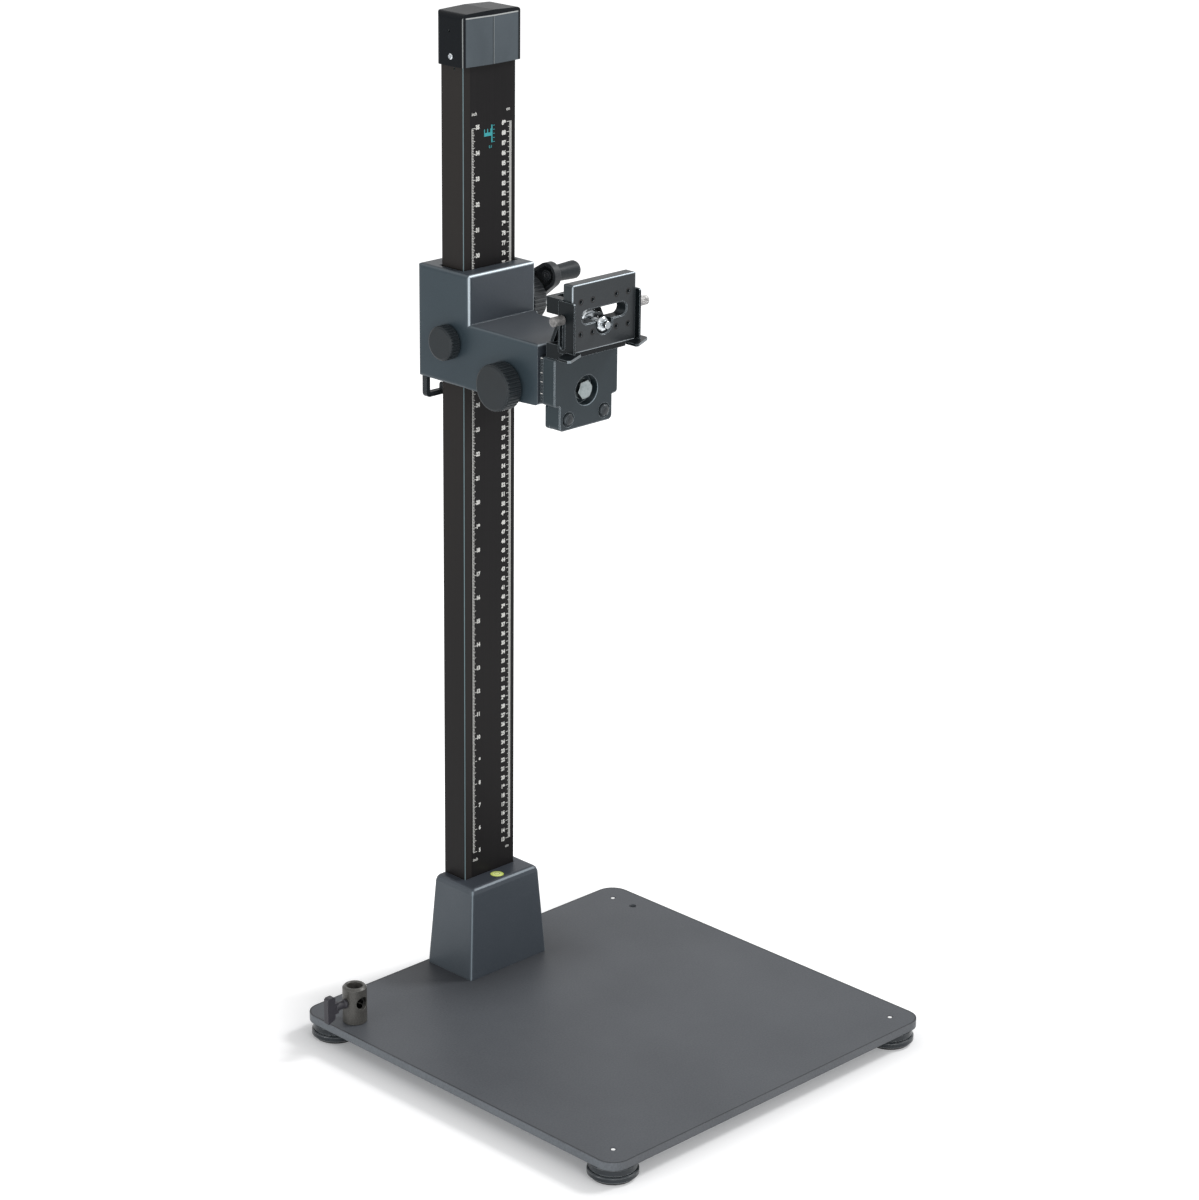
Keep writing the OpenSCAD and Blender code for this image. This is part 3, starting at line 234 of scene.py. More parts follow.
class Graph:
    """The node tree of one material, or of the world, and how strongly it finds edges."""

    BEVEL_SAMPLES = 4
    EDGE_GAIN = 3.0
    CREASE_GAIN = 4.2
    CREASE_START = 0.12
    SIDE_GAIN = 1.5

    def __init__(self, owner: Union[Material, bpy.types.World]) -> None:
        """Starts an empty tree with its output.

        Args:
            owner: what the tree belongs to.
        """
        self.owner = owner
        owner.use_nodes = True
        self.tree = owner.node_tree
        self.tree.nodes.clear()
        world = isinstance(owner, bpy.types.World)
        self.output = self.node("ShaderNodeOutputWorld" if world else "ShaderNodeOutputMaterial")

    @classmethod
    def named(cls, name: str) -> "Graph":
        """Starts the tree of a new material."""
        return cls(bpy.data.materials.new(name))

    def node(self, kind: str, settings: Optional[Settings] = None, inputs: Optional[Inputs] = None) -> Node:
        """Adds one node.

        Args:
            kind: the node's type.
            settings: its properties.
            inputs: values or links of its sockets, by place or by name.

        Returns:
            The new node.
        """
        made = self.tree.nodes.new(kind)
        for key, value in (settings or {}).items():
            setattr(made, key, value)
        for key, value in (inputs or {}).items():
            self.connect(self._find(made.inputs, key), value)
        return made

    def number(
        self, kind: str, settings: Optional[Settings] = None, inputs: Optional[Inputs] = None, output: Key = 0
    ) -> Signal:
        """Adds one node and takes one of its outputs, by place or by name, as a number."""
        made = self.node(kind, settings, inputs)
        return Signal(self, self._find(made.outputs, output))

    def connect(self, socket: Socket, value: Input) -> None:
        """Sets a socket to a value, or links it.

        Args:
            socket: the socket that takes it.
            value: a number, a list of numbers, a signal or another socket.
        """
        if isinstance(value, Signal):
            self.tree.links.new(value.socket, socket)
        elif isinstance(value, Socket):
            self.tree.links.new(value, socket)
        elif isinstance(value, (int, float)):
            socket.default_value = value
        else:
            numbers = list(value)
            if socket.type == "RGBA" and len(numbers) == 3:
                numbers.append(1.0)
            socket.default_value = numbers

    def mix(self, factor: Input, first: Input, second: Input, blend: str = "MIX") -> Socket:
        """Mixes two colours.

        Args:
            factor: share of the second colour.
            first: a colour or its socket.
            second: a colour or its socket.
            blend: the blend type.

        Returns:
            The mixed colour.
        """
        settings = {"data_type": "RGBA", "blend_type": blend}
        made = self.node("ShaderNodeMix", settings, {"Factor": factor, "A": first, "B": second})
        return self._find(made.outputs, "Result")

    def vector(self, operation: str, *values: Input) -> Node:
        """Adds one Vector Math node."""
        return self.node("ShaderNodeVectorMath", {"operation": operation}, dict(enumerate(values)))

    def place(self, space: Space = Space.OBJECT, scale: Rgb = WHITE) -> Socket:
        """Coordinates of the surface, stretched along each axis."""
        found = self.node("ShaderNodeTexCoord").outputs[space.value]
        return self.vector("MULTIPLY", found, scale).outputs[0]

    def noise(self, where: Socket, scale: float, detail: float = 2.0, roughness: float = 0.5) -> Signal:
        """Noise from 0 to 1: its waves in a metre, the number of finer layers, and their strength."""
        inputs = {"Vector": where, "Scale": scale, "Detail": detail, "Roughness": roughness}
        return self.number("ShaderNodeTexNoise", None, inputs, "Fac")

    def cells(self, where: Socket, scale: float) -> Signal:
        """Distance to the nearest cell's middle."""
        return self.number("ShaderNodeTexVoronoi", None, {"Vector": where, "Scale": scale}, "Distance")

    def rounded(self, radius: float) -> Socket:
        """The surface's direction with its edges rounded by a radius."""
        return self.node("ShaderNodeBevel", {"samples": self.BEVEL_SAMPLES}, {"Radius": radius}).outputs[0]

    def edge(self, radius: float) -> Signal:
        """How near a point is to an edge of its piece.

        Args:
            radius: width of the band.

        Returns:
            0 on a face to 1 on an edge.
        """
        true = self.node("ShaderNodeNewGeometry").outputs["True Normal"]
        turn = self.vector("DOT_PRODUCT", self.rounded(radius), true).outputs["Value"]
        return (1.0 - Signal(self, turn)).gained(self.EDGE_GAIN)

    def facing(self) -> tuple[Signal, Signal, Signal]:
        """Parts of the piece's own surface direction along X, Y and Z."""
        return self.split(self.node("ShaderNodeTexCoord").outputs["Normal"])

    def crease(self, behind: float, power: float, crest: float = 0.0) -> Signal:
        """Painted highlight on the rounded edges of a square-cut piece, on those round its front the most.

        Args:
            behind: share that edges away from the front get.
            power: narrows the rubbed line.
            crest: share taken off on edges that look up.

        Returns:
            0 on a flat face to 1 in the middle of a rounded edge.
        """
        x, y, z = self.facing()
        flat = x.size().larger(y.size()).larger(z.size())
        turned = ((1.0 - flat) * self.CREASE_GAIN - self.CREASE_START).clamped() ** power
        front = y.gained(-self.SIDE_GAIN)
        kept = 1.0 - z.gained(self.SIDE_GAIN) * crest
        return turned * kept * (front * (1.0 - behind) + behind)

    def split(self, where: Socket) -> tuple[Signal, Signal, Signal]:
        """Parts of a vector along X, Y and Z."""
        parts = self.node("ShaderNodeSeparateXYZ", None, {0: where})
        return Signal(self, parts.outputs[0]), Signal(self, parts.outputs[1]), Signal(self, parts.outputs[2])

    def band(self, value: Signal, centre: float, half: float) -> Signal:
        """A soft line: 1 where a number is near its centre and 0 at twice its half width."""
        return (2.0 - (value - centre).size() / half).clamped()

    def bump(self, height: Input, distance: float, radius: float) -> Socket:
        """Tilts a surface with rounded edges by a height, of which 1 stands for a distance in metres."""
        inputs = {"Height": height, "Distance": distance, "Strength": 1.0, "Normal": self.rounded(radius)}
        return self.node("ShaderNodeBump", None, inputs).outputs[0]

    def shade(self, inputs: Inputs) -> Material:
        """Ends the tree with one Principled shader.

        Args:
            inputs: values or links of the shader's sockets.

        Returns:
            The finished material.
        """
        shader = self.node("ShaderNodeBsdfPrincipled", None, inputs)
        self.connect(self.output.inputs["Surface"], shader.outputs[0])
        return self.owner

    @staticmethod
    def _find(sockets: Iterable[Socket], key: Key) -> Socket:
        """The socket at a place, or the one in use that has a name.

        Args:
            sockets: the sockets of one side of a node.
            key: a place or a name.

        Returns:
            The socket.
        """
        if isinstance(key, int):
            return list(sockets)[key]
        return next(one for one in sockets if one.name == key and one.enabled)


@dataclass(frozen=True)
class Footprint:
    """A rectangle with round corners on a level surface, whose surroundings shade towards it."""

    centre: Pair
    half: Pair
    reach: float = 0.001
    corner: float = 0.0

    @classmethod
    def under(cls, node: str, reach: float = 0.001, corner: float = 0.0) -> "Footprint":
        """The rectangle that a node covers."""
        low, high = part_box(node)
        return cls(middle(node)[:2], ((high.x - low.x) / 2, (high.y - low.y) / 2), reach, corner)

    @classmethod
    def round(cls, node: str, radius: float) -> "Footprint":
        """A circle about a node's middle."""
        return cls(middle(node)[:2], (radius, radius), corner=radius)

    def away(self, graph: Graph, where: Socket) -> Signal:
        """Distance to the outline.

        Args:
            graph: the tree that gets the nodes.
            where: coordinates in metres.

        Returns:
            The distance in metres, below 0 inside.
        """
        x, y, _ = graph.split(where)
        beside = (x - self.centre[0]).size() - (self.half[0] - self.corner)
        beyond = (y - self.centre[1]).size() - (self.half[1] - self.corner)
        apart = (beside.larger(0.0) ** 2.0 + beyond.larger(0.0) ** 2.0) ** 0.5
        return apart + beside.larger(beyond).math("MINIMUM", 0.0) - self.corner

    def mask(self, graph: Graph, where: Socket) -> Signal:
        """How near a point is to the rectangle: 1 inside to 0 at the end of the reach."""
        return (1.0 - self.away(graph, where) / self.reach).clamped()


@dataclass(frozen=True)
class PowderCoat:
    """Baked paint with a fine skin, a little cloud and lighter edges, partly wear and partly painted
    highlight.

    Painted light and shade belong to faces that look left and up. The ledge is a height with painted light
    for the level faces under it, painted shade darkens the paint round a piece, the outline is a dark line
    along an edge, and painted shade darkens the inside of the bore.
    """

    name: Union[Slot, Own]
    dark: Rgb
    light: Rgb
    edge_colour: Rgb
    edge_share: float = 0.35
    edge_radius: float = 0.0012
    metallic: float = 0.0
    roughness: float = 0.42
    cloud_scale: float = 9.0
    cloud_gain: float = 1.2
    grain: float = 900.0
    grain_depth: float = 0.00006
    speck_ratio: float = 2.3
    skin_share: float = 0.7
    speck_share: float = 0.3
    rough_swing: float = 0.16
    rough_drop: float = 0.08
    specular: float = 0.4
    speckle: float = 0.9
    crease_share: float = 0.0
    crease_behind: float = 0.1
    crease_power: float = 1.0
    crest: float = 0.0
    left_tint: Rgb = WHITE
    top_tint: Rgb = WHITE
    ledge: float = -1.0
    ledge_gain: float = 200.0
    ledge_tint: Rgb = WHITE
    footprint: Optional[Footprint] = None
    footprint_power: float = 1.6
    footprint_share: float = 0.6
    footprint_colour: Rgb = (0.02, 0.021, 0.024)
    outline: Optional[Footprint] = None
    outline_inset: float = 0.0011
    outline_half: float = 0.0004
    outline_share: float = 0.75
    outline_colour: Rgb = (0.02, 0.02, 0.021)
    bore: Optional[Footprint] = None
    bore_gain: float = 4000.0
    bore_depth_gain: float = 400.0
    bore_colour: Rgb = (0.004, 0.004, 0.004)

    def _marked(self, graph: Graph, where: Socket, z: Signal, colour: Input) -> Input:
        """Lays the ledge's painted light, painted shade round a piece and in the bore, and the outline over a
        colour.

        Args:
            graph: the tree that gets the nodes.
            where: coordinates in metres.
            z: the upward part of the surface's direction.
            colour: the colour so far.

        Returns:
            The marked colour.
        """
        # painted light on the level faces under the ledge
        if self.ledge > 0.0:
            low = (self.ledge - graph.split(where)[2]).gained(self.ledge_gain) * z.clamped()
            colour = graph.mix(low, colour, self.ledge_tint, "MULTIPLY")
        # painted shade on level faces round a piece
        if self.footprint:
            near = self.footprint.mask(graph, where) ** self.footprint_power
            colour = graph.mix(near * z.clamped() * self.footprint_share, colour, self.footprint_colour)
        # painted shade on the walls inside the bore
        if self.bore:
            deep = (self.ledge - graph.split(where)[2]).gained(self.bore_depth_gain)
            inside = self.bore.away(graph, where).gained(-self.bore_gain) * deep
            colour = graph.mix(inside * (1.0 - z.size()), colour, self.bore_colour)
        if self.outline:
            line = graph.band(self.outline.away(graph, where), -self.outline_inset, self.outline_half)
            colour = graph.mix(line * z.clamped() * self.outline_share, colour, self.outline_colour)
        return colour

    def material(self) -> Material:
        """Builds the finish."""
        graph = Graph.named(self.name.value)
        where = graph.place()
        cloud = graph.noise(where, self.cloud_scale, detail=3.0)
        skin = graph.noise(where, self.grain, roughness=0.6)
        speck = graph.noise(where, self.grain * self.speck_ratio, detail=1.0)
        edge = graph.edge(self.edge_radius)
        crease = graph.crease(self.crease_behind, self.crease_power, self.crest)
        x, _, z = graph.facing()
        tone = (cloud.swing() * self.cloud_gain + skin.swing() * self.speckle + 0.5).clamped()
        colour = graph.mix(tone, self.dark, self.light)
        # painted light and shade on faces that look left, then on faces that look up
        colour = graph.mix(x.gained(-1.0), colour, self.left_tint, "MULTIPLY")
        colour = graph.mix(z.clamped(), colour, self.top_tint, "MULTIPLY")
        colour = self._marked(graph, where, z, colour)
        # lighter edges, partly wear and partly painted highlight, then the painted highlight on rounded edges
        colour = graph.mix(edge * self.edge_share, colour, self.edge_colour)
        colour = graph.mix(crease * self.crease_share, colour, self.edge_colour)
        rough = self.roughness + skin.swing() * self.rough_swing - edge * self.rough_drop
        height = skin * self.skin_share + speck * self.speck_share
        return graph.shade(
            {
                "Base Color": colour,
                "Metallic": self.metallic,
                "Roughness": rough.clamped(),
                "Specular IOR Level": self.specular,
                "Normal": graph.bump(height, self.grain_depth, self.edge_radius),
            }
        )


@dataclass(frozen=True)
class DrawnMetal:
    """Drawn profile with a dark skin: fine lines along its length and a soft brown tone.

    The tone lies in a cloud, on a strip along the left of its front, and on its left side as painted light,
    more so towards the top.
    """

    name: Union[Slot, Own]
    dark: Rgb
    light: Rgb
    tint: Rgb
    edge_colour: Rgb
    line_scale: float = 900.0
    line_stretch: float = 0.004
    line_depth: float = 0.00002
    line_gain: float = 1.3
    cloud_scale: float = 7.0
    cloud_stretch: float = 0.35
    cloud_share: float = 0.4
    strip_edge: float = 0.135
    strip_gain: float = 90.0
    strip_share: float = 0.45
    side_share: float = 0.1
    side_start: float = 0.3
    side_gain: float = 1.1
    edge_share: float = 0.8
    edge_radius: float = 0.0009
    edge_behind: float = 0.1
    edge_power: float = 1.8
    roughness: float = 0.42
    rough_swing: float = 0.18
    specular: float = 0.09

    def material(self) -> Material:
        """Builds the finish."""
        graph = Graph.named(self.name.value)
        drawn = graph.place(scale=(1.0, 1.0, self.line_stretch))
        lines = graph.noise(drawn, self.line_scale, detail=3.0, roughness=0.6)
        cloud = graph.noise(graph.place(scale=(1.0, 1.0, self.cloud_stretch)), self.cloud_scale)
        crease = graph.crease(self.edge_behind, self.edge_power)
        x, y, _ = graph.facing()
        across, _, up = graph.split(graph.place(Space.GENERATED))
        strip = (self.strip_edge - across).gained(self.strip_gain) * y.gained(-1.0)
        # painted light: the brown tone on the left side, more so towards the top
        side = x.gained(-1.0) * (self.side_share + (up - self.side_start).clamped() * self.side_gain)
        colour = graph.mix((lines.swing() * self.line_gain + 0.5).clamped(), self.dark, self.light)
        tinted = (cloud.swing() * self.cloud_share + side + strip * self.strip_share).clamped()
        colour = graph.mix(tinted, colour, self.tint)
        # painted highlight on the rounded edges
        colour = graph.mix(crease * self.edge_share, colour, self.edge_colour)
        return graph.shade(
            {
                "Base Color": colour,
                "Metallic": 0.0,
                "Roughness": (self.roughness + lines.swing() * self.rough_swing).clamped(),
                "Specular IOR Level": self.specular,
                "Normal": graph.bump(lines, self.line_depth, self.edge_radius),
            }
        )


@dataclass(frozen=True)
class PlatedMetal:
    """Plated or machined steel: turning marks, faint stains and lighter edges, partly wear and partly painted
    highlight.

    The painted horizon reflection is a share of the stain colour on faces that stand upright or look down.
    """

    name: Union[Slot, Own]
    dark: Rgb
    light: Rgb
    stain: Rgb
    stain_scale: float = 160.0
    stain_start: float = 0.45
    stain_gain: float = 2.0
    stain_share: float = 0.3
    roughness: float = 0.24
    grain_swing: float = 0.2
    cloud_swing: float = 0.1
    grain: float = 1400.0
    depth: float = 0.00002
    edge_radius: float = 0.0004
    edge_share: float = 0.5
    edge_colour: Rgb = (0.86, 0.86, 0.87)
    horizon: float = 0.0
    horizon_tilt: float = 0.05
    horizon_gain: float = 2.6
    horizon_under: float = 0.45
    metallic: float = 1.0

    def material(self) -> Material:
        """Builds the finish."""
        graph = Graph.named(self.name.value)
        where = graph.place()
        fine = graph.noise(where, self.grain, detail=3.0, roughness=0.6)
        cloud = graph.noise(where, self.stain_scale)
        edge = graph.edge(self.edge_radius)
        _, _, z = graph.facing()
        spots = (cloud - self.stain_start) * self.stain_gain
        upright = (1.0 - (z - self.horizon_tilt).size() * self.horizon_gain).clamped()
        under = (z * -1.0 - self.horizon_under).clamped()
        colour = graph.mix(fine, self.dark, self.light)
        colour = graph.mix(spots.gained(self.stain_share), colour, self.stain)
        # painted reflection of a dark horizon on upright and downward faces
        colour = graph.mix((upright + under).gained(self.horizon), colour, self.stain)
        # lighter edges, partly wear and partly painted highlight
        colour = graph.mix(edge * self.edge_share, colour, self.edge_colour)
        rough = self.roughness + fine.swing() * self.grain_swing + cloud.swing() * self.cloud_swing
        return graph.shade(
            {
                "Base Color": colour,
                "Metallic": self.metallic,
                "Roughness": rough.clamped(),
                "Normal": graph.bump(fine, self.depth, self.edge_radius),
            }
        )


@dataclass(frozen=True)
class MouldedPlastic:
    """Moulded plastic or rubber with a fine eroded grain."""

    name: Union[Slot, Own]
    dark: Rgb
    light: Rgb
    roughness: float = 0.5
    rough_swing: float = 0.2
    cloud_scale: float = 45.0
    cloud_share: float = 0.8
    pit_share: float = 0.5
    tone_drop: float = 0.1
    grain: float = 1300.0
    depth: float = 0.00005
    specular: float = 0.35
    edge_colour: Rgb = (0.14, 0.15, 0.16)
    edge_share: float = 0.5
    edge_radius: float = 0.0009

    def material(self) -> Material:
        """Builds the finish."""
        graph = Graph.named(self.name.value)
        where = graph.place()
        pits = graph.cells(where, self.grain)
        cloud = graph.noise(where, self.cloud_scale, detail=3.0)
        edge = graph.edge(self.edge_radius)
        tone = (cloud * self.cloud_share + pits * self.pit_share - self.tone_drop).clamped()
        colour = graph.mix(tone, self.dark, self.light)
        # lighter edges, partly wear and partly painted highlight
        colour = graph.mix(edge * self.edge_share, colour, self.edge_colour)
        return graph.shade(
            {
                "Base Color": colour,
                "Roughness": (self.roughness + cloud.swing() * self.rough_swing).clamped(),
                "Specular IOR Level": self.specular,
                "Normal": graph.bump(pits, self.depth, self.edge_radius),
            }
        )


@dataclass(frozen=True)
class GlossyPlastic:
    """Polished plastic cap: a painted reflection on two panels of its front, a ridge between them drawn
    as painted shade beside a painted highlight, and painted highlights along the panels' top and round edges.

    Places on the front are shares of its width and height.
    """

    name: Union[Slot, Own]
    body: Rgb
    # front is the colour of the painted reflection, rim that of the painted highlights
    front: Rgb
    rim: Rgb
    flow_scale: float = 26.0
    flow_stretch: float = 0.5
    flow_share: float = 0.5
    haze_scale: float = 900.0
    haze_depth: float = 0.00001
    front_power: float = 3.0
    side_gap: float = 0.046
    side_gain: float = 70.0
    top_line: float = 0.885
    top_gain: float = 60.0
    panel_share: float = 0.86
    rim_half: float = 0.008
    rim_share: float = 0.75
    ridge: float = 0.5
    shade_half: float = 0.004
    shade_share: float = 0.8
    shine_place: float = 0.01
    shine_half: float = 0.003
    shine_share: float = 0.3
    edge_share: float = 0.7
    edge_radius: float = 0.0005
    edge_behind: float = 0.05
    edge_power: float = 1.6
    crest: float = 0.9
    roughness: float = 0.3
    haze_swing: float = 0.08
    flow_swing: float = 0.06
    specular: float = 0.04

    def material(self) -> Material:
        """Builds the finish."""
        graph = Graph.named(self.name.value)
        flow = graph.noise(graph.place(scale=(1.0, 1.0, self.flow_stretch)), self.flow_scale, detail=3.0)
        haze = graph.noise(graph.place(), self.haze_scale)
        across, _, up = graph.split(graph.place(Space.GENERATED))
        _, y, _ = graph.facing()
        front = y.gained(-1.0) ** self.front_power
        beside = (0.5 - across.swing().size() - self.side_gap).gained(self.side_gain)
        panel = beside * (self.top_line - up).gained(self.top_gain) * front
        rim = graph.band(up, self.top_line + self.rim_half, self.rim_half) * beside * front
        shade = graph.band(across, self.ridge - self.shade_half, self.shade_half) * panel
        shine = graph.band(across, self.ridge + self.shine_place, self.shine_half) * panel
        # painted highlights beside the ridge and along the panels' top
        bright = (shine * self.shine_share + rim * self.rim_share).clamped()
        # painted reflection on the front panels
        grey = (panel * (self.panel_share + flow.swing() * self.flow_share)).clamped()
        colour = graph.mix(grey, self.body, self.front)
        # painted shade along the ridge
        colour = graph.mix(shade * self.shade_share, colour, self.body)
        colour = graph.mix(bright, colour, self.rim)
        # painted highlight on the rounded edges
        crease = graph.crease(self.edge_behind, self.edge_power, self.crest)
        colour = graph.mix(crease * self.edge_share, colour, self.rim)
        rough = self.roughness + haze.swing() * self.haze_swing + flow.swing() * self.flow_swing
        return graph.shade(
            {
                "Base Color": colour,
                "Roughness": rough.clamped(),
                "Specular IOR Level": self.specular,
                "Normal": graph.bump(haze, self.haze_depth, self.edge_radius),
            }
        )


@dataclass(frozen=True)
class LevelFluid:
    """Tinted fluid seen through the lens of a round level, brightened by a painted glow."""

    name: Union[Slot, Own]
    middle: Rgb
    rim: Rgb
    radius: float
    centre: Pair
    rim_start: float = 0.45
    rim_gain: float = 1.7
    swirl_scale: float = 260.0
    swirl_share: float = 0.3
    swirl_swing: float = 0.04
    roughness: float = 0.12
    coat: float = 0.6
    glow: float = 0.12

    def material(self) -> Material:
        """Builds the finish."""
        graph = Graph.named(self.name.value)
        where = graph.place()
        off = graph.vector("SUBTRACT", where, (*self.centre, 0.0)).outputs[0]
        flat = graph.vector("MULTIPLY", off, (1.0, 1.0, 0.0)).outputs[0]
        away = Signal(graph, graph.vector("LENGTH", flat).outputs["Value"]) / self.radius
        swirl = graph.noise(where, self.swirl_scale).swing()
        share = ((away - self.rim_start) * self.rim_gain + swirl * self.swirl_share).clamped()
        colour = graph.mix(share, self.middle, self.rim)
        return graph.shade(
            {
                "Base Color": colour,
                "Roughness": self.roughness + swirl * self.swirl_swing,
                "Coat Weight": self.coat,
                # painted glow: the fluid gives off a little light of its own colour
                "Emission Color": colour,
                "Emission Strength": self.glow,
            }
        )


@dataclass(frozen=True)
class PrintInk:
    """Screen printed ink: slightly uneven cover."""

    name: Union[Slot, Own]
    full: Rgb
    thin: Rgb
    grain: float = 1700.0
    cover_start: float = 0.35
    cover_gain: float = 2.0
    roughness: float = 0.5
    rough_swing: float = 0.2

    def material(self) -> Material:
        """Builds the finish."""
        graph = Graph.named(self.name.value)
        cover = graph.noise(graph.place(), self.grain)
        colour = graph.mix((cover - self.cover_start).gained(self.cover_gain), self.thin, self.full)
        rough = self.roughness + cover.swing() * self.rough_swing
        return graph.shade({"Base Color": colour, "Roughness": rough})


Finish = Union[PowderCoat, DrawnMetal, PlatedMetal, MouldedPlastic, GlossyPlastic, LevelFluid, PrintInk]


class Palette:
    """Every finish of the stand, each built once."""

    CONTACT_REACH = 0.085
    BOARD_CORNER = 0.02
    BORE_RADIUS = 0.0112
    SOCKET_RIM = 0.009
    LEDGE_RISE = 0.02
    LEVEL_RADIUS = 0.0065

    def __init__(self) -> None:
        """Builds the finishes of the slots, and those of single pieces."""
        self.made: dict[Enum, Material] = {one.name: one.material() for one in self._finishes()}

    def __getitem__(self, choice: Union[Slot, Own]) -> Material:
        """The material of a slot, or one that some pieces have for themselves."""
        return self.made[choice]

    def _finishes(self) -> list[Finish]:
        """Lists every finish: first those of the record's slots, then those of single pieces.

        Returns:
            The finishes, each with its own name.
        """
        light_edge = srgb(204, 216, 224)
        # cast paint: painted highlight on rounded edges, painted shade on left faces, painted light on the
        # level faces under the ledge
        cast = PowderCoat(
            Slot.CAST, srgb(57, 64, 71), srgb(73, 79, 86), light_edge, edge_share=0.2, metallic=0.15,
            roughness=0.38, specular=0.24, crease_share=1.0, crease_power=1.2, left_tint=(0.76, 0.93, 0.95),
            ledge=middle("carriage_housing")[2] + self.LEDGE_RISE, ledge_tint=(1.6, 1.5, 1.42),
        )
        # black steel: painted highlight on rounded edges and painted shade on left faces
        steel = PowderCoat(
            Slot.BLACK_STEEL, srgb(40, 44, 47), srgb(56, 60, 63), light_edge, edge_share=0.6,
            edge_radius=0.0009, metallic=0.15, roughness=0.36, specular=0.24, crease_share=0.9,
            left_tint=(0.8, 0.92, 0.95),
        )
        # nickel: painted reflection of a dark horizon
        nickel = PlatedMetal(
            Slot.NICKEL, srgb(184, 190, 194), srgb(230, 235, 238), srgb(70, 78, 84), stain_share=0.2,
            roughness=0.16, horizon=0.65,
        )
        return [
            # board: painted light on left faces, painted shade on top faces and round the pedestal
            PowderCoat(
                Slot.BOARD, srgb(90, 93, 97), srgb(107, 110, 114), srgb(70, 72, 76), edge_share=0.5,
                roughness=0.46, grain=520.0, grain_depth=0.00012, specular=0.2, speckle=1.8,
                left_tint=(1.2, 1.24, 1.26), top_tint=(0.735, 0.745, 0.765),
                footprint=Footprint.under("pedestal", self.CONTACT_REACH),
                outline=Footprint.under("baseboard", corner=self.BOARD_CORNER),
            ),
            cast,
            DrawnMetal(
                Slot.COLUMN, srgb(21, 20, 21), srgb(30, 29, 30), srgb(52, 49, 47), srgb(150, 178, 186),
            ),
            PlatedMetal(
                Slot.RACK, srgb(138, 139, 142), srgb(178, 179, 182), srgb(110, 106, 100), roughness=0.32,
            ),
            PlatedMetal(
                Slot.ZINC, srgb(150, 154, 156), srgb(194, 197, 199), srgb(118, 116, 106), roughness=0.3,
            ),
            nickel,
            PlatedMetal(
                Slot.BRASS, srgb(168, 134, 70), srgb(206, 172, 100), srgb(120, 90, 48), roughness=0.25,
            ),
            MouldedPlastic(
                Slot.BLACK_PLASTIC, srgb(25, 30, 33), srgb(41, 47, 51), specular=0.24,
                edge_colour=srgb(104, 110, 114), edge_share=0.75,
            ),
            MouldedPlastic(
                Slot.GREY_PLASTIC, srgb(36, 39, 42), srgb(52, 56, 59), edge_colour=srgb(118, 122, 126),
            ),
            MouldedPlastic(Slot.LINER, srgb(52, 52, 54), srgb(70, 70, 72), roughness=0.4),
            steel,
            LevelFluid(
                Slot.FLUID, srgb(236, 246, 164), srgb(206, 222, 104), self.LEVEL_RADIUS,
                middle("level_vial")[:2],
            ),
            MouldedPlastic(
                Slot.RUBBER, srgb(24, 24, 25), srgb(36, 36, 37), roughness=0.72, grain=800.0, depth=0.0001,
            ),
            # pedestal: narrow painted highlight on rounded edges, painted light on left faces, painted shade
            # on top faces
            replace(
                cast, name=Own.PEDESTAL, crease_power=3.4, crease_share=0.75, crest=0.8, ledge=-1.0,
                edge_colour=srgb(172, 188, 198), left_tint=(1.3, 1.3, 1.26), top_tint=(0.9, 0.88, 0.9),
            ),
            GlossyPlastic(Own.CAP, srgb(30, 33, 36), srgb(93, 101, 107), srgb(206, 210, 210)),
            # head: painted highlight on rounded edges and a cooler painted shade on left faces
            replace(
                cast, name=Own.HEAD, dark=srgb(35, 44, 49), light=srgb(49, 58, 63), edge_share=0.6,
                left_tint=(0.86, 1.0, 1.02), ledge=-1.0,
            ),
            # dome screws: lighter rims as painted highlight
            replace(steel, name=Own.DOME, crease_share=0.0, edge_share=0.7, edge_radius=0.0018),
            # stops: painted highlight on rounded edges
            replace(
                steel, name=Own.STOP, dark=srgb(13, 17, 20), light=srgb(25, 30, 33), crease_share=0.7,
                specular=0.14,
            ),
            # knurled screws: dark stains and a painted horizon reflection
            replace(
                nickel, name=Own.KNURLED, dark=srgb(48, 47, 48), light=srgb(214, 212, 210),
                stain=srgb(44, 45, 46), stain_share=1.2, roughness=0.36, grain=620.0, depth=0.0001,
                horizon=0.4, metallic=0.45,
            ),
            replace(
                nickel, name=Own.STUD, dark=srgb(232, 234, 235), light=srgb(252, 252, 252),
                stain_share=0.0, horizon=0.0,
            ),
            replace(
                nickel, name=Own.BOLT, dark=srgb(112, 120, 121), light=srgb(158, 166, 167),
                stain=srgb(84, 92, 94), stain_share=0.9, roughness=0.36, grain=700.0, horizon=0.0,
            ),
            # lamp socket: painted shade inside the bore
            PowderCoat(
                Own.SOCKET, srgb(60, 59, 56), srgb(92, 91, 88), srgb(150, 150, 146), edge_share=0.6,
                edge_radius=0.0006, metallic=0.2, roughness=0.38, grain=1100.0, grain_depth=0.00012,
                specular=0.5, speckle=2.2, ledge=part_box("lamp_socket")[1].z - self.SOCKET_RIM,
                bore=Footprint.round("lamp_socket", self.BORE_RADIUS),
            ),
            MouldedPlastic(
                Own.WING, srgb(44, 43, 48), srgb(62, 61, 67), edge_colour=srgb(132, 133, 140),
            ),
            # feet: bright edges as painted highlight
            MouldedPlastic(
                Own.FOOT, srgb(28, 32, 36), srgb(46, 52, 57), roughness=0.26, specular=0.4,
                edge_colour=srgb(150, 156, 160), edge_share=1.0, edge_radius=0.0013,
            ),
            # painted highlight on the rim of the bolt's recess
            PrintInk(Own.RUBBED, srgb(142, 158, 166), srgb(120, 134, 142)),
            PrintInk(Own.WHITE_INK, srgb(240, 240, 236), srgb(214, 214, 210)),
            PrintInk(Own.TEAL_INK, srgb(54, 176, 180), srgb(40, 142, 150)),
        ]


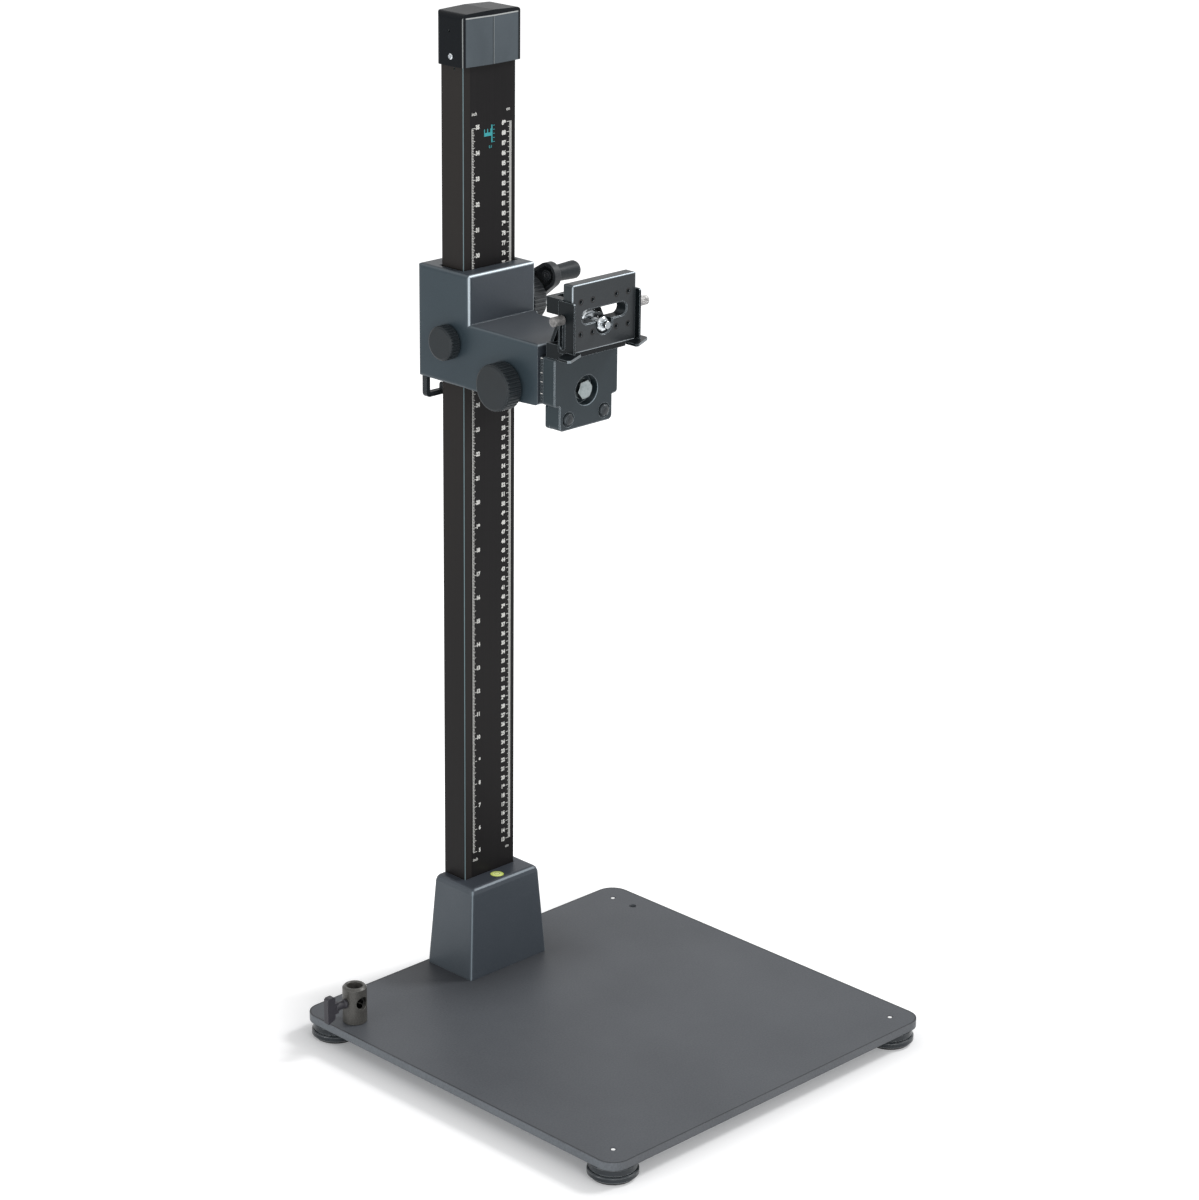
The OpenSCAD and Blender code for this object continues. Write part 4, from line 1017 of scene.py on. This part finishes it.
@dataclass
class Draft:
    """A mesh that is being built up from flat and turned forms."""

    name: str

    def __post_init__(self) -> None:
        """Starts empty."""
        self.work = bmesh.new()

    def facing(self, corners: Sequence[Sequence[float]]) -> None:
        """Adds one flat face through corners given in order."""
        self.work.faces.new([self.work.verts.new(corner) for corner in corners])

    def ring(
        self,
        centre: Sequence[float],
        profile: Sequence[Pair],
        steps: int = 48,
        turn: Optional[Matrix] = None,
    ) -> None:
        """Adds a form turned round a line through a point.

        Args:
            centre: the point.
            profile: (radius, height) pairs; a radius of 0 closes that end.
            steps: number of sides.
            turn: lays the line over; it stands upright without one.
        """
        lie = turn or Matrix.Identity(4)
        rows = []
        for radius, height in profile:
            row = []
            for step in range(1 if radius == 0 else steps):
                angle = 2 * math.pi * step / steps
                shift = lie @ Vector((radius * math.cos(angle), radius * math.sin(angle), height))
                row.append(self.work.verts.new(Vector(centre) + shift))
            rows.append(row)
        for low, high in zip(rows, rows[1:]):
            for step in range(steps):
                after = (step + 1) % steps
                around = ((low, step), (low, after), (high, after), (high, step))
                corners = list(dict.fromkeys(row[place % len(row)] for row, place in around))
                if len(corners) > 2:
                    self.work.faces.new(corners)

    def words(self, text: str, size: float, turn: Matrix, bold: float, squeeze: float) -> None:
        """Adds flat generic lettering.

        Args:
            text: the characters.
            size: height of the font.
            turn: puts the text's plane in place.
            bold: how far each stroke is thickened.
            squeeze: stretch along the line.
        """
        curve = bpy.data.curves.new("draft_text", "FONT")
        curve.body = text
        curve.size = size
        curve.offset = bold * size
        curve.resolution_u = 3
        holder = bpy.data.objects.new("draft_text", curve)
        bpy.context.scene.collection.objects.link(holder)
        bpy.context.view_layer.update()
        ready = holder.evaluated_get(bpy.context.evaluated_depsgraph_get())
        mesh = bpy.data.meshes.new_from_object(ready)
        mesh.transform(turn @ Matrix.Diagonal((squeeze, 1.0, 1.0, 1.0)))
        self.work.from_mesh(mesh)
        bpy.data.objects.remove(holder)
        bpy.data.curves.remove(curve)
        bpy.data.meshes.remove(mesh)

    def finish(self, material: Material, body: Body, slot: Slot) -> None:
        """Turns the draft into a piece that rides on a body.

        Args:
            material: its finish.
            body: the body that carries it.
            slot: the record's slot meant for it; not used.
        """
        mesh = bpy.data.meshes.new(self.name)
        bmesh.ops.recalc_face_normals(self.work, faces=self.work.faces)
        self.work.to_mesh(mesh)
        self.work.free()
        mesh.materials.append(material)
        for face in mesh.polygons:
            face.use_smooth = False
        made = bpy.data.objects.new(self.name, mesh)
        bpy.context.scene.collection.objects.link(made)
        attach(made, body.value)
        LOG.info("%s: %d faces on %s", self.name, len(mesh.polygons), body.value)


@dataclass(frozen=True)
class Wear:
    """Nodes and the finish that they wear: their slot's, or one of their own."""

    slot: Slot
    nodes: tuple[str, ...]
    own: Optional[Own] = None


@dataclass
class Dresser:
    """Gives CAD nodes their finishes."""

    nodes: Mapping[str, bpy.types.Object]
    palette: Palette

    def dress(self, wear: Wear) -> None:
        """Assigns a finish to nodes.

        Args:
            wear: the nodes and their finish.
        """
        finish = self.palette[wear.own or wear.slot]
        for name in wear.nodes:
            holder = self.nodes[name]
            if not holder.material_slots:
                holder.data.materials.append(finish)
            for place in holder.material_slots:
                place.material = finish
            LOG.info("%s wears %s", name, finish.name)


@dataclass
class Assembly:
    """A sub-assembly of the stand."""

    wears: tuple[Wear, ...] = ()

    def build(self, dresser: Dresser) -> None:
        """Dresses its nodes and adds its marks.

        Args:
            dresser: gives the finishes.
        """
        for wear in self.wears:
            dresser.dress(wear)
        self.mark(dresser.palette)

    def mark(self, palette: Palette) -> None:
        """Adds prints and other thin marks; a plain sub-assembly has none."""


@dataclass
class Base(Assembly):
    """Board, feet, pads and the lamp socket."""

    wears: tuple[Wear, ...] = (
        Wear(Slot.BOARD, ("baseboard",)),
        Wear(Slot.BLACK_PLASTIC, tuple(f"foot_{corner}" for corner in CORNERS), Own.FOOT),
        Wear(Slot.RUBBER, tuple(f"foot_pad_{corner}" for corner in CORNERS)),
        Wear(Slot.GREY_PLASTIC, ("lamp_socket",), Own.SOCKET),
        Wear(Slot.GREY_PLASTIC, ("socket_wing_screw",), Own.WING),
        Wear(Slot.ZINC, ("socket_bolt", "pedestal_bolts", "column_bolts")),
    )
    stud_radius: float = 0.0022
    stud_crown: float = 0.8
    stud_start: float = 0.00002
    stud_rise: float = 0.0001

    def mark(self, palette: Palette) -> None:
        """Lays the bright end of each foot's stud into its hole.

        Args:
            palette: the finishes.
        """
        crown = (self.stud_radius * self.stud_crown, self.stud_rise)
        profile = [(self.stud_radius, self.stud_start), crown, (0.0, self.stud_rise)]
        for corner in CORNERS:
            node, body = f"foot_{corner}", Body(f"{corner}_foot")
            x, y, _ = middle(node)
            draft = Draft(f"stud_end_{body.value}")
            draft.ring((x, y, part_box(node)[1].z), profile, steps=24)
            draft.finish(palette[Own.STUD], body, Slot.ZINC)


@dataclass
class Pedestal(Assembly):
    """Cast column foot with its round level."""

    wears: tuple[Wear, ...] = (
        Wear(Slot.CAST, ("pedestal",), Own.PEDESTAL),
        Wear(Slot.BLACK_PLASTIC, ("level_housing",)),
        Wear(Slot.FLUID, ("level_vial",)),
    )
    ring_radius: float = 0.0026
    ring_width: float = 0.00035
    ring_depth: float = 0.00008

    def mark(self, palette: Palette) -> None:
        """Draws the level's circle.

        Args:
            palette: the finishes.
        """
        x, y, _ = middle("level_vial")
        circle = Draft("level_circle")
        radii = (self.ring_radius, self.ring_radius + self.ring_width)
        circle.ring((x, y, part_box("level_vial")[1].z), [(radius, -self.ring_depth) for radius in radii])
        circle.finish(palette[Slot.BLACK_PLASTIC], Body.BASE, Slot.BLACK_PLASTIC)


@dataclass(frozen=True)
class Rule:
    """One printed rule, in millimetres of the column.

    Its ticks are (every how many parts, length) pairs, the rarest first.
    """

    unit: str
    pitch: float
    parts: int
    first: int
    last: int
    line: Pair
    ticks: tuple[tuple[int, float], ...]
    leftward: bool
    number_end: float
    number_drop: float
    label_start: float
    label_heights: Pair

    def tick(self, step: int) -> Pair:
        """Where the tick of a part starts and ends across the column.

        Args:
            step: the part, counted from the rule's zero.

        Returns:
            Its left and right end.
        """
        length = next(length for every, length in self.ticks if step % every == 0)
        near, far = self.line
        return (far - length, near) if self.leftward else (far, near + length)


@dataclass
class PrintedScale:
    """Inch and centimetre rules printed on the column's front, and the fine-drive legend.

    Places on the column are in millimetres, from its lower left corner.
    """

    inches: Rule = Rule(
        unit="inch", pitch=25.4, parts=16, first=5, last=35, line=(10.8, 11.3),
        ticks=((16, 5.6), (8, 4.4), (4, 3.6), (1, 2.6)), leftward=False, number_end=22.0, number_drop=1.2,
        label_start=10.8, label_heights=(901.6, 117.0),
    )
    centimetres: Rule = Rule(
        unit="cm", pitch=10.0, parts=10, first=13, last=89, line=(62.9, 63.4),
        ticks=((10, 6.2), (5, 4.2), (1, 2.8)), leftward=True, number_end=56.8, number_drop=2.2,
        label_start=56.6, label_heights=(901.2, 119.5),
    )
    face: float = 0.17650
    shift: float = -0.026
    rise: float = 0.027
    tick_half: float = 0.28
    line_end: float = 0.2
    digit: float = 3.0
    numeral: float = 0.0058
    numeral_bold: float = 0.06
    numeral_squeeze: float = 0.86
    label: float = 0.0046
    label_squeeze: float = 0.9
    bold: float = 0.02
    stem: tuple[float, float, float, float] = (36.6, 38.2, 872.4, 889.9)
    stem_ticks: tuple[float, float, float, float] = (39.0, 41.2, 872.8, 4.03)
    stem_marks: int = 5
    comb: tuple[float, float, float, float] = (27.1, 36.6, 879.2, 882.6)
    teeth: tuple[float, float, float] = (27.1, 31.2, 35.4)
    tooth_width: float = 1.1
    tooth_top: float = 886.3
    share: str = "0,1"
    share_size: float = 0.0036
    share_place: Pair = (33.4, 867.2)

    def _at(self, x: float, z: float) -> Matrix:
        """Puts a text plane on the face at a place."""
        where = Vector((self.shift + x / MM, self.face, self.rise + z / MM))
        return Matrix.Translation(where) @ Matrix.Rotation(math.pi / 2, 4, "X")

    def _stroke(self, draft: Draft, x0: float, x1: float, z0: float, z1: float) -> None:
        """Adds one flat printed bar.

        Args:
            draft: the mesh.
            x0: left end.
            x1: right end.
            z0: lower end.
            z1: upper end.
        """
        left, right = self.shift + x0 / MM, self.shift + x1 / MM
        low, high = self.rise + z0 / MM, self.rise + z1 / MM
        face = self.face
        draft.facing([(left, face, low), (right, face, low), (right, face, high), (left, face, high)])

    def _tick(self, draft: Draft, x0: float, x1: float, z: float) -> None:
        """Adds one tick at a height."""
        self._stroke(draft, x0, x1, z - self.tick_half, z + self.tick_half)

    def rule(self, draft: Draft, rule: Rule) -> None:
        """Prints one rule with its line, ticks and numbers.

        Args:
            draft: the mesh.
            rule: the rule.
        """
        start, end = rule.first * rule.pitch, rule.last * rule.pitch
        self._stroke(draft, *rule.line, start - self.line_end, end + self.line_end)
        for step in range(rule.first * rule.parts, rule.last * rule.parts + 1):
            self._tick(draft, *rule.tick(step), step * rule.pitch / rule.parts)
        for value in range(rule.first, rule.last + 1):
            left = rule.number_end - self.digit * len(str(value))
            turn = self._at(left, value * rule.pitch - rule.number_drop)
            draft.words(str(value), self.numeral, turn, self.numeral_bold, self.numeral_squeeze)

    def labels(self, draft: Draft, rule: Rule) -> None:
        """Prints a rule's unit over and under it."""
        for z in rule.label_heights:
            draft.words(rule.unit, self.label, self._at(rule.label_start, z), self.bold, self.label_squeeze)

    def legend(self, draft: Draft) -> None:
        """Prints the legend of the fine drive: a short rule and a comb beside it.

        Args:
            draft: the mesh.
        """
        self._stroke(draft, *self.stem)
        left, right, low, pitch = self.stem_ticks
        for step in range(self.stem_marks):
            self._tick(draft, left, right, low + pitch * step)
        self._stroke(draft, *self.comb)
        for x in self.teeth:
            self._stroke(draft, x, x + self.tooth_width, self.comb[3], self.tooth_top)
        draft.words(self.share, self.share_size, self._at(*self.share_place), self.bold, squeeze=1.0)

    def build(self, palette: Palette) -> None:
        """Prints the rules and the legend.

        Args:
            palette: the inks.
        """
        scale = Draft("column_scale")
        rules = (self.inches, self.centimetres)
        for rule in rules:
            self.rule(scale, rule)
        for rule in rules:
            self.labels(scale, rule)
        scale.finish(palette[Own.WHITE_INK], Body.BASE, Slot.COLUMN)
        legend = Draft("fine_drive_legend")
        self.legend(legend)
        legend.finish(palette[Own.TEAL_INK], Body.BASE, Slot.COLUMN)


@dataclass
class Column(Assembly):
    """Drawn column with its rack, cap and printed scale."""

    wears: tuple[Wear, ...] = (
        Wear(Slot.COLUMN, ("column",)),
        Wear(Slot.RACK, ("column_rack",)),
        Wear(Slot.BLACK_PLASTIC, ("column_cap",), Own.CAP),
        Wear(Slot.NICKEL, ("cap_screws",)),
    )

    def mark(self, palette: Palette) -> None:
        """Prints the scale."""
        PrintedScale().build(palette)


@dataclass
class Carriage(Assembly):
    """Cast carriage, its liners, bushes, cover and hook."""

    wears: tuple[Wear, ...] = (
        Wear(Slot.CAST, ("carriage_housing",)),
        Wear(Slot.BLACK_PLASTIC, ("drive_cover", "cable_hook")),
        Wear(Slot.LINER, ("slide_liners",)),
        Wear(Slot.BRASS, ("shaft_bushes",)),
        Wear(Slot.ZINC, ("cover_screws",)),
    )


@dataclass
class Drive(Assembly):
    """Crank, pinion and the three knobs with their screws and shoes."""

    wears: tuple[Wear, ...] = (
        Wear(Slot.RACK, ("crank_shaft", "pinion", "handle_pin")),
        Wear(Slot.RACK, ("clamp_screw", "friction_screw", "swivel_screw")),
        Wear(Slot.GREY_PLASTIC, ("crank_arm", "friction_knob")),
        Wear(Slot.BLACK_PLASTIC, ("crank_grip", "clamp_knob", "swivel_knob")),
        Wear(Slot.BRASS, ("clamp_shoe", "friction_shoe", "swivel_shoe")),
    )


@dataclass
class SwivelHead(Assembly):
    """Bracket on its spindle, with the index plate and its printed marks."""

    wears: tuple[Wear, ...] = (
        Wear(Slot.CAST, ("swivel_bracket",), Own.HEAD),
        Wear(Slot.RACK, ("swivel_spindle",)),
        Wear(Slot.BLACK_STEEL, ("index_plate",)),
        Wear(Slot.BLACK_STEEL, ("bracket_screws",), Own.DOME),
        Wear(Slot.ZINC, ("hex_bolt", "bolt_washer"), Own.BOLT),
    )
    mark_heights: tuple[float, ...] = (0.715, 0.7005, 0.6915, 0.6798)
    mark_span: Pair = (0.25, 0.8)
    mark_half: float = 0.0004
    mark_lift: float = 0.00003
    rim_radius: float = 0.0151
    rim_width: float = 0.0009
    rim_start: float = -130.0
    rim_sweep: float = 165.0
    rim_steps: int = 28
    rim_tip: float = 0.12

    def mark(self, palette: Palette) -> None:
        """Prints the index marks and adds a painted highlight to the rim of the bolt's recess."""
        self.index(palette)
        self.crescent(palette)

    def index(self, palette: Palette) -> None:
        """Prints the index marks on the left of the index plate.

        Args:
            palette: the inks.
        """
        low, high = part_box("index_plate")
        marks = Draft("index_marks")
        x, half = low.x - self.mark_lift, self.mark_half
        front, back = (low.y + (high.y - low.y) * share for share in self.mark_span)
        corners = ((back, -half), (front, -half), (front, half), (back, half))
        for z in self.mark_heights:
            marks.facing([(x, y, z + rise) for y, rise in corners])
        marks.finish(palette[Own.WHITE_INK], Body.HEAD, Slot.BLACK_STEEL)

    def crescent(self, palette: Palette) -> None:
        """Adds a painted highlight on the low right side of the rim of the bolt's recess.

        Args:
            palette: the finishes.
        """
        across, _, up = middle("hex_bolt")
        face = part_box("swivel_bracket")[0].y - PRINT_LIFT
        start, sweep = math.radians(self.rim_start), math.radians(self.rim_sweep)
        rim = Draft("recess_painted_highlight")
        sides = []
        for step in range(self.rim_steps + 1):
            angle = start + sweep * step / self.rim_steps
            swell = self.rim_tip + (1.0 - self.rim_tip) * math.sin(math.pi * step / self.rim_steps)
            sides.append([
                (across + radius * math.cos(angle), face, up + radius * math.sin(angle))
                for radius in (self.rim_radius, self.rim_radius + self.rim_width * swell)
            ])
        for (inner, outer), (inner_next, outer_next) in zip(sides, sides[1:]):
            rim.facing([inner, outer, outer_next, inner_next])
        rim.finish(palette[Own.RUBBED], Body.HEAD, Slot.CAST)


@dataclass
class CameraMount(Assembly):
    """Camera plate, its carrier, stops and screws."""

    wears: tuple[Wear, ...] = (
        Wear(Slot.BLACK_STEEL, ("camera_plate",)),
        Wear(Slot.BLACK_STEEL, ("plate_carrier", "stop_left", "stop_right"), Own.STOP),
        Wear(Slot.NICKEL, ("stop_screw_left", "stop_screw_right"), Own.KNURLED),
        Wear(Slot.NICKEL, ("camera_screw", "slot_washer", "thread_adapter")),
        Wear(Slot.ZINC, ("carrier_screws", "retaining_clip")),
    )
    hole_step: float = 0.0159
    hole_radius: float = 0.0019
    hole_rim: float = 0.0014
    rim_fall: float = 0.00001

    def mark(self, palette: Palette) -> None:
        """Lays a dark ring of painted shade round each small hole of the camera plate.

        Args:
            palette: the finishes.
        """
        across, _, up = middle("camera_plate")
        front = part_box("camera_plate")[0].y
        rims = Draft("plate_hole_painted_shade")
        outer = self.hole_radius + self.hole_rim
        profile = [(self.hole_radius, PRINT_LIFT), (outer, PRINT_LIFT - self.rim_fall)]
        lie = Matrix.Rotation(math.pi / 2, 4, "X")
        for column in (-2, -1, 1, 2):
            for row in (-1, 1):
                centre = (across + column * self.hole_step, front, up + row * self.hole_step)
                rims.ring(centre, profile, steps=32, turn=lie)
        # painted shade: dark rings round the holes
        rims.finish(palette[Slot.RUBBER], Body.HEAD, Slot.BLACK_STEEL)


@dataclass(frozen=True)
class Lamp:
    """One soft rectangular light that looks at a point."""

    name: str
    place: Point
    target: Point
    size: Pair
    power: float

    def build(self) -> None:
        """Makes the lamp."""
        light = bpy.data.lights.new(self.name, "AREA")
        light.shape = "RECTANGLE"
        light.size, light.size_y = self.size
        light.energy = self.power
        holder = bpy.data.objects.new(self.name, light)
        bpy.context.scene.collection.objects.link(holder)
        turn = (Vector(self.target) - Vector(self.place)).to_track_quat("-Z", "Y").to_matrix().to_4x4()
        holder.matrix_world = Matrix.Translation(self.place) @ turn


@dataclass
class Studio:
    """Camera, floor, world and lamps.

    The camera's angles are degrees, and its focal length and width are pixels of the photograph.
    """

    eye: Point = (-2.21662, -2.20358, 1.59294)
    yaw: float = 45.038
    pitch: float = -19.6684
    roll: float = 0.6578
    focal: float = 3397.4875
    width: float = 1199.0
    sensor: float = 36.0
    far_end: float = 60.0
    ambient: float = 0.42
    floor_half: float = 9.0
    fibre_scale: float = 40.0
    paper: tuple[Rgb, Rgb] = ((0.58, 0.58, 0.58), (0.6, 0.6, 0.6))
    paper_shown: Rgb = (0.8, 0.8, 0.805)
    glow_far: Rgb = (0.76, 0.76, 0.76)
    glow_near: Rgb = (0.14, 0.144, 0.148)
    shadow: Footprint = Footprint((0.0, 0.0), (0.205, 0.205), 0.125)
    lamps: tuple[Lamp, ...] = (
        Lamp("key_lamp", (2.3, -1.1, 2.9), (0.0, 0.0, 0.55), (0.8, 0.8), 60.0),
        Lamp("front_lamp", (-1.1, -3.4, 1.8), (0.0, 0.0, 0.55), (1.4, 1.4), 34.0),
        Lamp("side_lamp", (-2.6, 0.3, 0.6), (0.0, 0.1, 0.3), (1.0, 0.8), 16.0),
        Lamp("edge_lamp", (-2.3, -2.3, 0.55), (0.0, 0.0, 0.5), (0.5, 0.9), 16.0),
    )

    def camera(self) -> None:
        """Puts the camera where the photograph was taken."""
        yaw, pitch, roll = (math.radians(angle) for angle in (self.yaw, self.pitch, self.roll))
        ahead = Vector((math.sin(yaw) * math.cos(pitch), math.cos(yaw) * math.cos(pitch), math.sin(pitch)))
        level = Vector((math.cos(yaw), -math.sin(yaw), 0.0))
        above = level.cross(ahead)
        right = math.cos(roll) * level + math.sin(roll) * above
        up = -math.sin(roll) * level + math.cos(roll) * above
        made = bpy.data.cameras.new("camera")
        made.sensor_fit = "HORIZONTAL"
        made.sensor_width = self.sensor
        made.lens = self.focal / self.width * self.sensor
        made.clip_end = self.far_end
        holder = bpy.data.objects.new("camera", made)
        bpy.context.scene.collection.objects.link(holder)
        turn = Matrix((right, up, -ahead)).transposed().to_4x4()
        holder.matrix_world = Matrix.Translation(self.eye) @ turn
        bpy.context.scene.camera = holder

    def world(self) -> None:
        """Lights the scene evenly and shows white behind it."""
        world = bpy.data.worlds.new("world")
        bpy.context.scene.world = world
        graph = Graph(world)
        path = graph.node("ShaderNodeLightPath").outputs
        seen = Signal(graph, path["Is Camera Ray"]).larger(path["Is Transmission Ray"])
        seen = seen.larger(path["Is Glossy Ray"])
        strength = seen * (1.0 - self.ambient) + self.ambient
        glow = graph.node("ShaderNodeBackground", None, {"Color": WHITE, "Strength": strength})
        graph.connect(graph.output.inputs["Surface"], glow.outputs[0])

    def paper_finish(self) -> Material:
        """Builds the floor's finish: white, but for the ground near the board, which keeps its shadow."""
        graph = Graph.named("floor_paper")
        path = graph.node("ShaderNodeLightPath").outputs
        seen = Signal(graph, path["Is Camera Ray"]).larger(path["Is Glossy Ray"])
        where = graph.place()
        fibre = graph.mix(graph.noise(where, self.fibre_scale), *self.paper)
        pale = graph.node("ShaderNodeBsdfDiffuse", None, {"Color": fibre})
        bright = graph.node("ShaderNodeBsdfDiffuse", None, {"Color": self.paper_shown})
        shine = graph.mix(self.shadow.mask(graph, where), self.glow_far, self.glow_near)
        glow = graph.node("ShaderNodeEmission", None, {"Color": shine})
        both = graph.node("ShaderNodeAddShader", None, {0: bright.outputs[0], 1: glow.outputs[0]})
        mixed = graph.node("ShaderNodeMixShader", None, {0: seen, 1: pale.outputs[0], 2: both.outputs[0]})
        graph.connect(graph.output.inputs["Surface"], mixed.outputs[0])
        return graph.owner

    def floor(self) -> None:
        """Lays a pale floor that keeps the object's shadow."""
        draft = Draft("floor")
        half = self.floor_half
        draft.facing([(x * half, y * half, 0.0) for x, y in ((-1, -1), (1, -1), (1, 1), (-1, 1))])
        mesh = bpy.data.meshes.new("floor")
        draft.work.to_mesh(mesh)
        draft.work.free()
        mesh.materials.append(self.paper_finish())
        floor = bpy.data.objects.new("floor", mesh)
        bpy.context.scene.collection.objects.link(floor)

    def build(self) -> None:
        """Sets up the studio."""
        self.camera()
        self.world()
        self.floor()
        for lamp in self.lamps:
            lamp.build()
        bpy.context.scene.view_settings.view_transform = "Standard"
        LOG.info("studio ready")


def main() -> None:
    """Dresses every sub-assembly."""
    logging.basicConfig(level=logging.INFO, format="%(message)s")
    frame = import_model()
    Studio().build()
    dresser = Dresser(frame["nodes"], Palette())
    for assembly in (Base(), Pedestal(), Column(), Carriage(), Drive(), SwivelHead(), CameraMount()):
        assembly.build(dresser)
    LOG.info("dressed %d nodes", len(frame["nodes"]))


if __name__ == "__main__":
    main()
